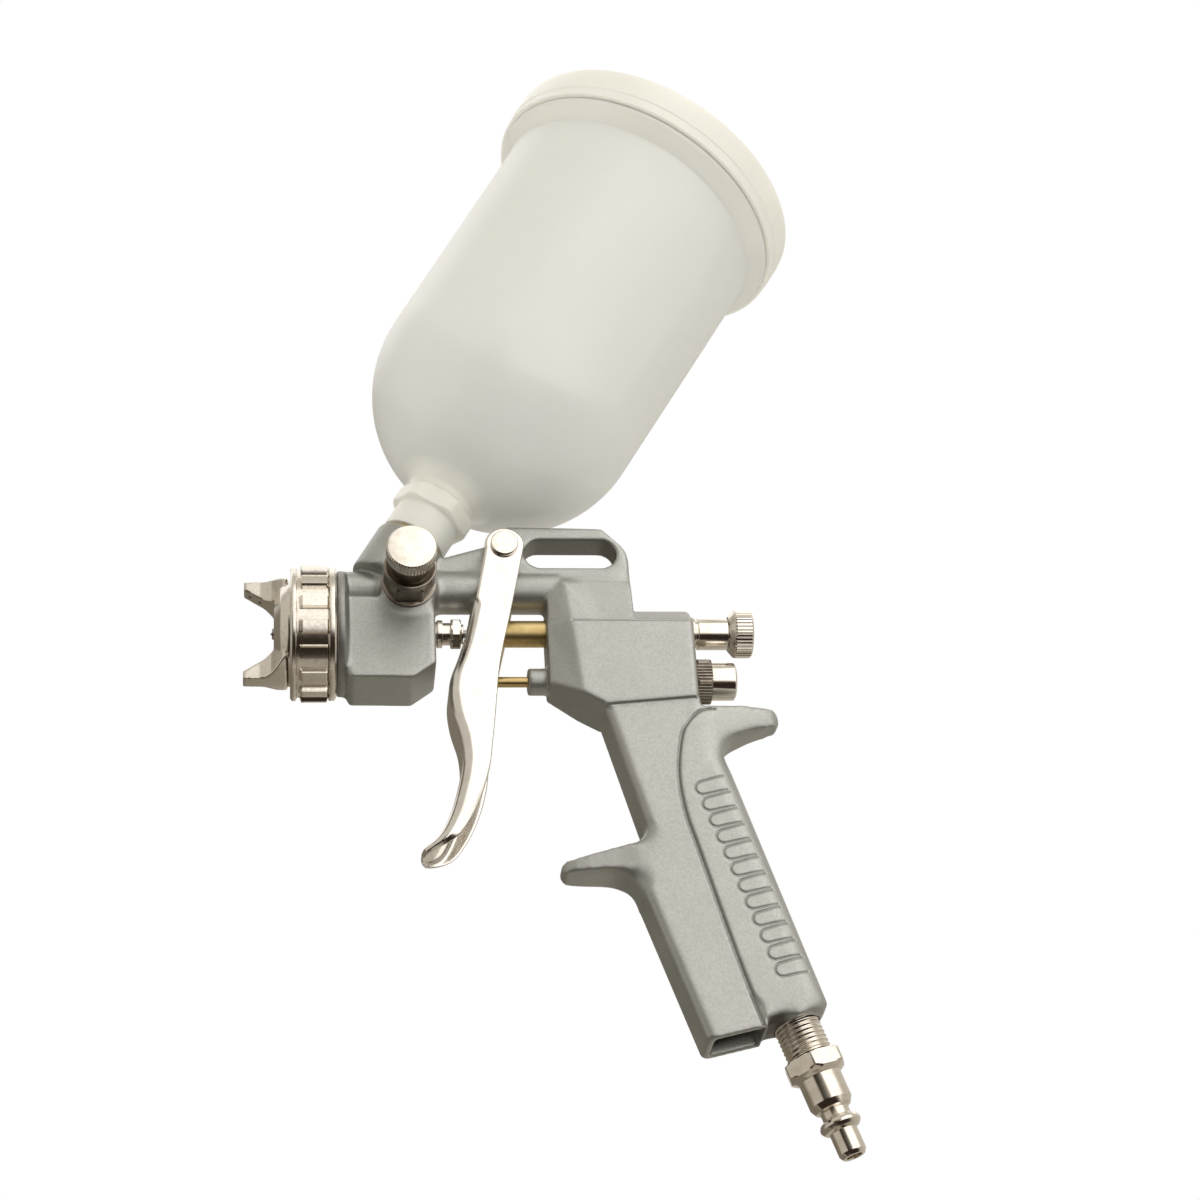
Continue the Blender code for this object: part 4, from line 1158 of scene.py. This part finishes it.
def finish_inner_nodes():
    """The pieces that stay as the frame has them."""
    for material, names in (
        (RUBBER, ("nozzle_gasket", "needle_packing", "air_valve_seal", "air_valve_packing",
                  "fan_valve_oring", "inlet_gasket")),
        (WHITE, ("air_baffle", "cup_filter")),
        (STEEL, ("needle_spring_seat", "fan_valve_stem")),
        (BRASS, ("air_valve_seat",)),
    ):
        for name in names:
            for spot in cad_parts[name].material_slots:
                spot.material = material


# --- stage ---
WALLS = (0.60, 0.565, 0.50)
FLOOR_GLOW = (0.42, 0.38, 0.32)
SHADE = (0.20, 0.178, 0.14)
DARK = (0.030, 0.022, 0.016)
WINDOW = (1.50, 1.46, 1.40)
BACK_WINDOW = (1.20, 1.17, 1.12)
ROOM = (1.06, 1.035, 0.96)  # what the matt surfaces are lit by
KEY_WATTS = 2.5
FLOOR_RADIUS = 25.0
FLOOR_DROP = 0.75  # how far the floor lies below the gun


def build_world():
    """Studio: a big soft window in front and to the right, dark beside and under it, beige walls."""
    world = bpy.data.worlds.new("studio")
    bpy.context.scene.world = world
    world.use_nodes = True
    g = Graph(world.node_tree)
    g.tree.nodes.clear()

    def within(value, low, high, soft, soft_high=None):
        """1 between two angles, falling to 0 over soft edges."""
        soft_high = soft_high or soft
        rise = g.span(value, low - soft, low + soft, shape="SMOOTHSTEP")
        fall = g.span(value, high + soft_high, high - soft_high, shape="SMOOTHSTEP")
        return g.math("MULTIPLY", rise, fall)

    split = g.node("ShaderNodeSeparateXYZ")
    g.fill(split, Vector=g.node("ShaderNodeTexCoord").outputs["Generated"])
    x, y, z = split.outputs
    side = g.math("MULTIPLY", g.math("ARCTAN2", x, g.math("MULTIPLY", y, -1.0)), 180 / math.pi)
    height = g.math("MULTIPLY", g.math("ARCSINE", z), 180 / math.pi)

    def zone(sides, heights, across=side):
        """1 in a patch of the surroundings, given by its limits and softness in degrees round and up."""
        return g.math("MULTIPLY", within(across, *sides), within(height, *heights))

    colour = g.blend(within(height, -10, 95, 35), FLOOR_GLOW, WALLS)
    colour = g.blend(zone((-190, -108, 14), (-84, 66, 8)), colour, SHADE)
    beside, under = zone((-46, -3, 5), (-60, 8, 8)), zone((-100, 75, 10), (-72, -24, 7))
    colour = g.blend(g.math("MAXIMUM", beside, under), colour, DARK)
    colour = g.blend(zone((116, 250, 12), (36, 84, 8), g.math("ABSOLUTE", side)), colour, BACK_WINDOW)
    colour = g.blend(zone((-3, 60, 5, 14), (-20, 62, 6)), colour, WINDOW)
    path = g.node("ShaderNodeLightPath")
    light, seen = g.node("ShaderNodeBackground"), g.node("ShaderNodeBackground")
    g.fill(light, Color=g.blend(path.outputs["Is Diffuse Ray"], colour, ROOM))
    g.fill(seen, Color=(1.0, 1.0, 1.0))
    choose = g.node("ShaderNodeMixShader")
    g.fill(choose, Fac=path.outputs["Is Camera Ray"])
    g.put(choose.inputs[1], light.outputs["Background"])
    g.put(choose.inputs[2], seen.outputs["Background"])
    g.fill(g.node("ShaderNodeOutputWorld"), Surface=choose.outputs["Shader"])


def build_stage():
    low, high = CAD_BOX
    solid = bmesh.new()
    bmesh.ops.create_circle(solid, cap_ends=True, radius=FLOOR_RADIUS, segments=96)
    floor = in_scene("floor", mesh_of("floor", solid))
    floor.location = ((low[0] + high[0]) / 2, 0, low[2] - FLOOR_DROP)
    floor.data.materials.append(
        plain_part("pale_floor", (0.92, 0.925, 0.935), (0.905, 0.91, 0.92), 0.7, 0.8, 40))
    floor.visible_glossy = False
    floor.visible_diffuse = False
    key = bpy.data.lights.new("key", "AREA")
    key.shape = "DISK"
    key.size = 1.1
    key.energy = KEY_WATTS
    key.color = (1.0, 0.985, 0.96)
    lamp = in_scene("key", key)
    lamp.location = (0.9, -1.5, 1.6)
    lamp.rotation_euler = (-Vector(lamp.location)).to_track_quat("-Z", "Y").to_euler()


def build_camera():
    """Photograph's viewpoint: from below and in front, turned a little towards the handle."""
    sensor, image = 36.0, 1200  # width of the sensor in mm, and of the photograph in pixels
    focal = 2701.9  # in pixels
    azimuth, elevation, roll = (math.radians(angle) for angle in (7.56, 29.80, -3.65))
    place = Vector((-72.18, -708.96, -397.56)) * MM
    forward = Vector((
        math.sin(azimuth) * math.cos(elevation), math.cos(azimuth) * math.cos(elevation), math.sin(elevation),
    ))
    level = forward.cross(Vector((0, 0, 1))).normalized()
    raised = level.cross(forward)
    right = math.cos(roll) * level + math.sin(roll) * raised
    up = -math.sin(roll) * level + math.cos(roll) * raised
    data = bpy.data.cameras.new("camera")
    data.sensor_width = sensor
    data.lens = focal / image * sensor
    data.clip_start, data.clip_end = 0.01, 50
    camera = in_scene("camera", data)
    turn = Matrix((right, up, -forward)).transposed()
    camera.matrix_world = Matrix.Translation(ORIGIN + place) @ turn.to_4x4()
    bpy.context.scene.camera = camera


for build in (
    build_body, build_air_cap, build_ring, build_nozzle, build_needle_group, build_air_valve, build_trigger,
    build_fan_valve, build_cup, build_lid, build_inlet, build_springs, finish_inner_nodes, build_world,
    build_stage, build_camera,
):
    build()
bpy.context.scene.view_settings.view_transform = "Standard"
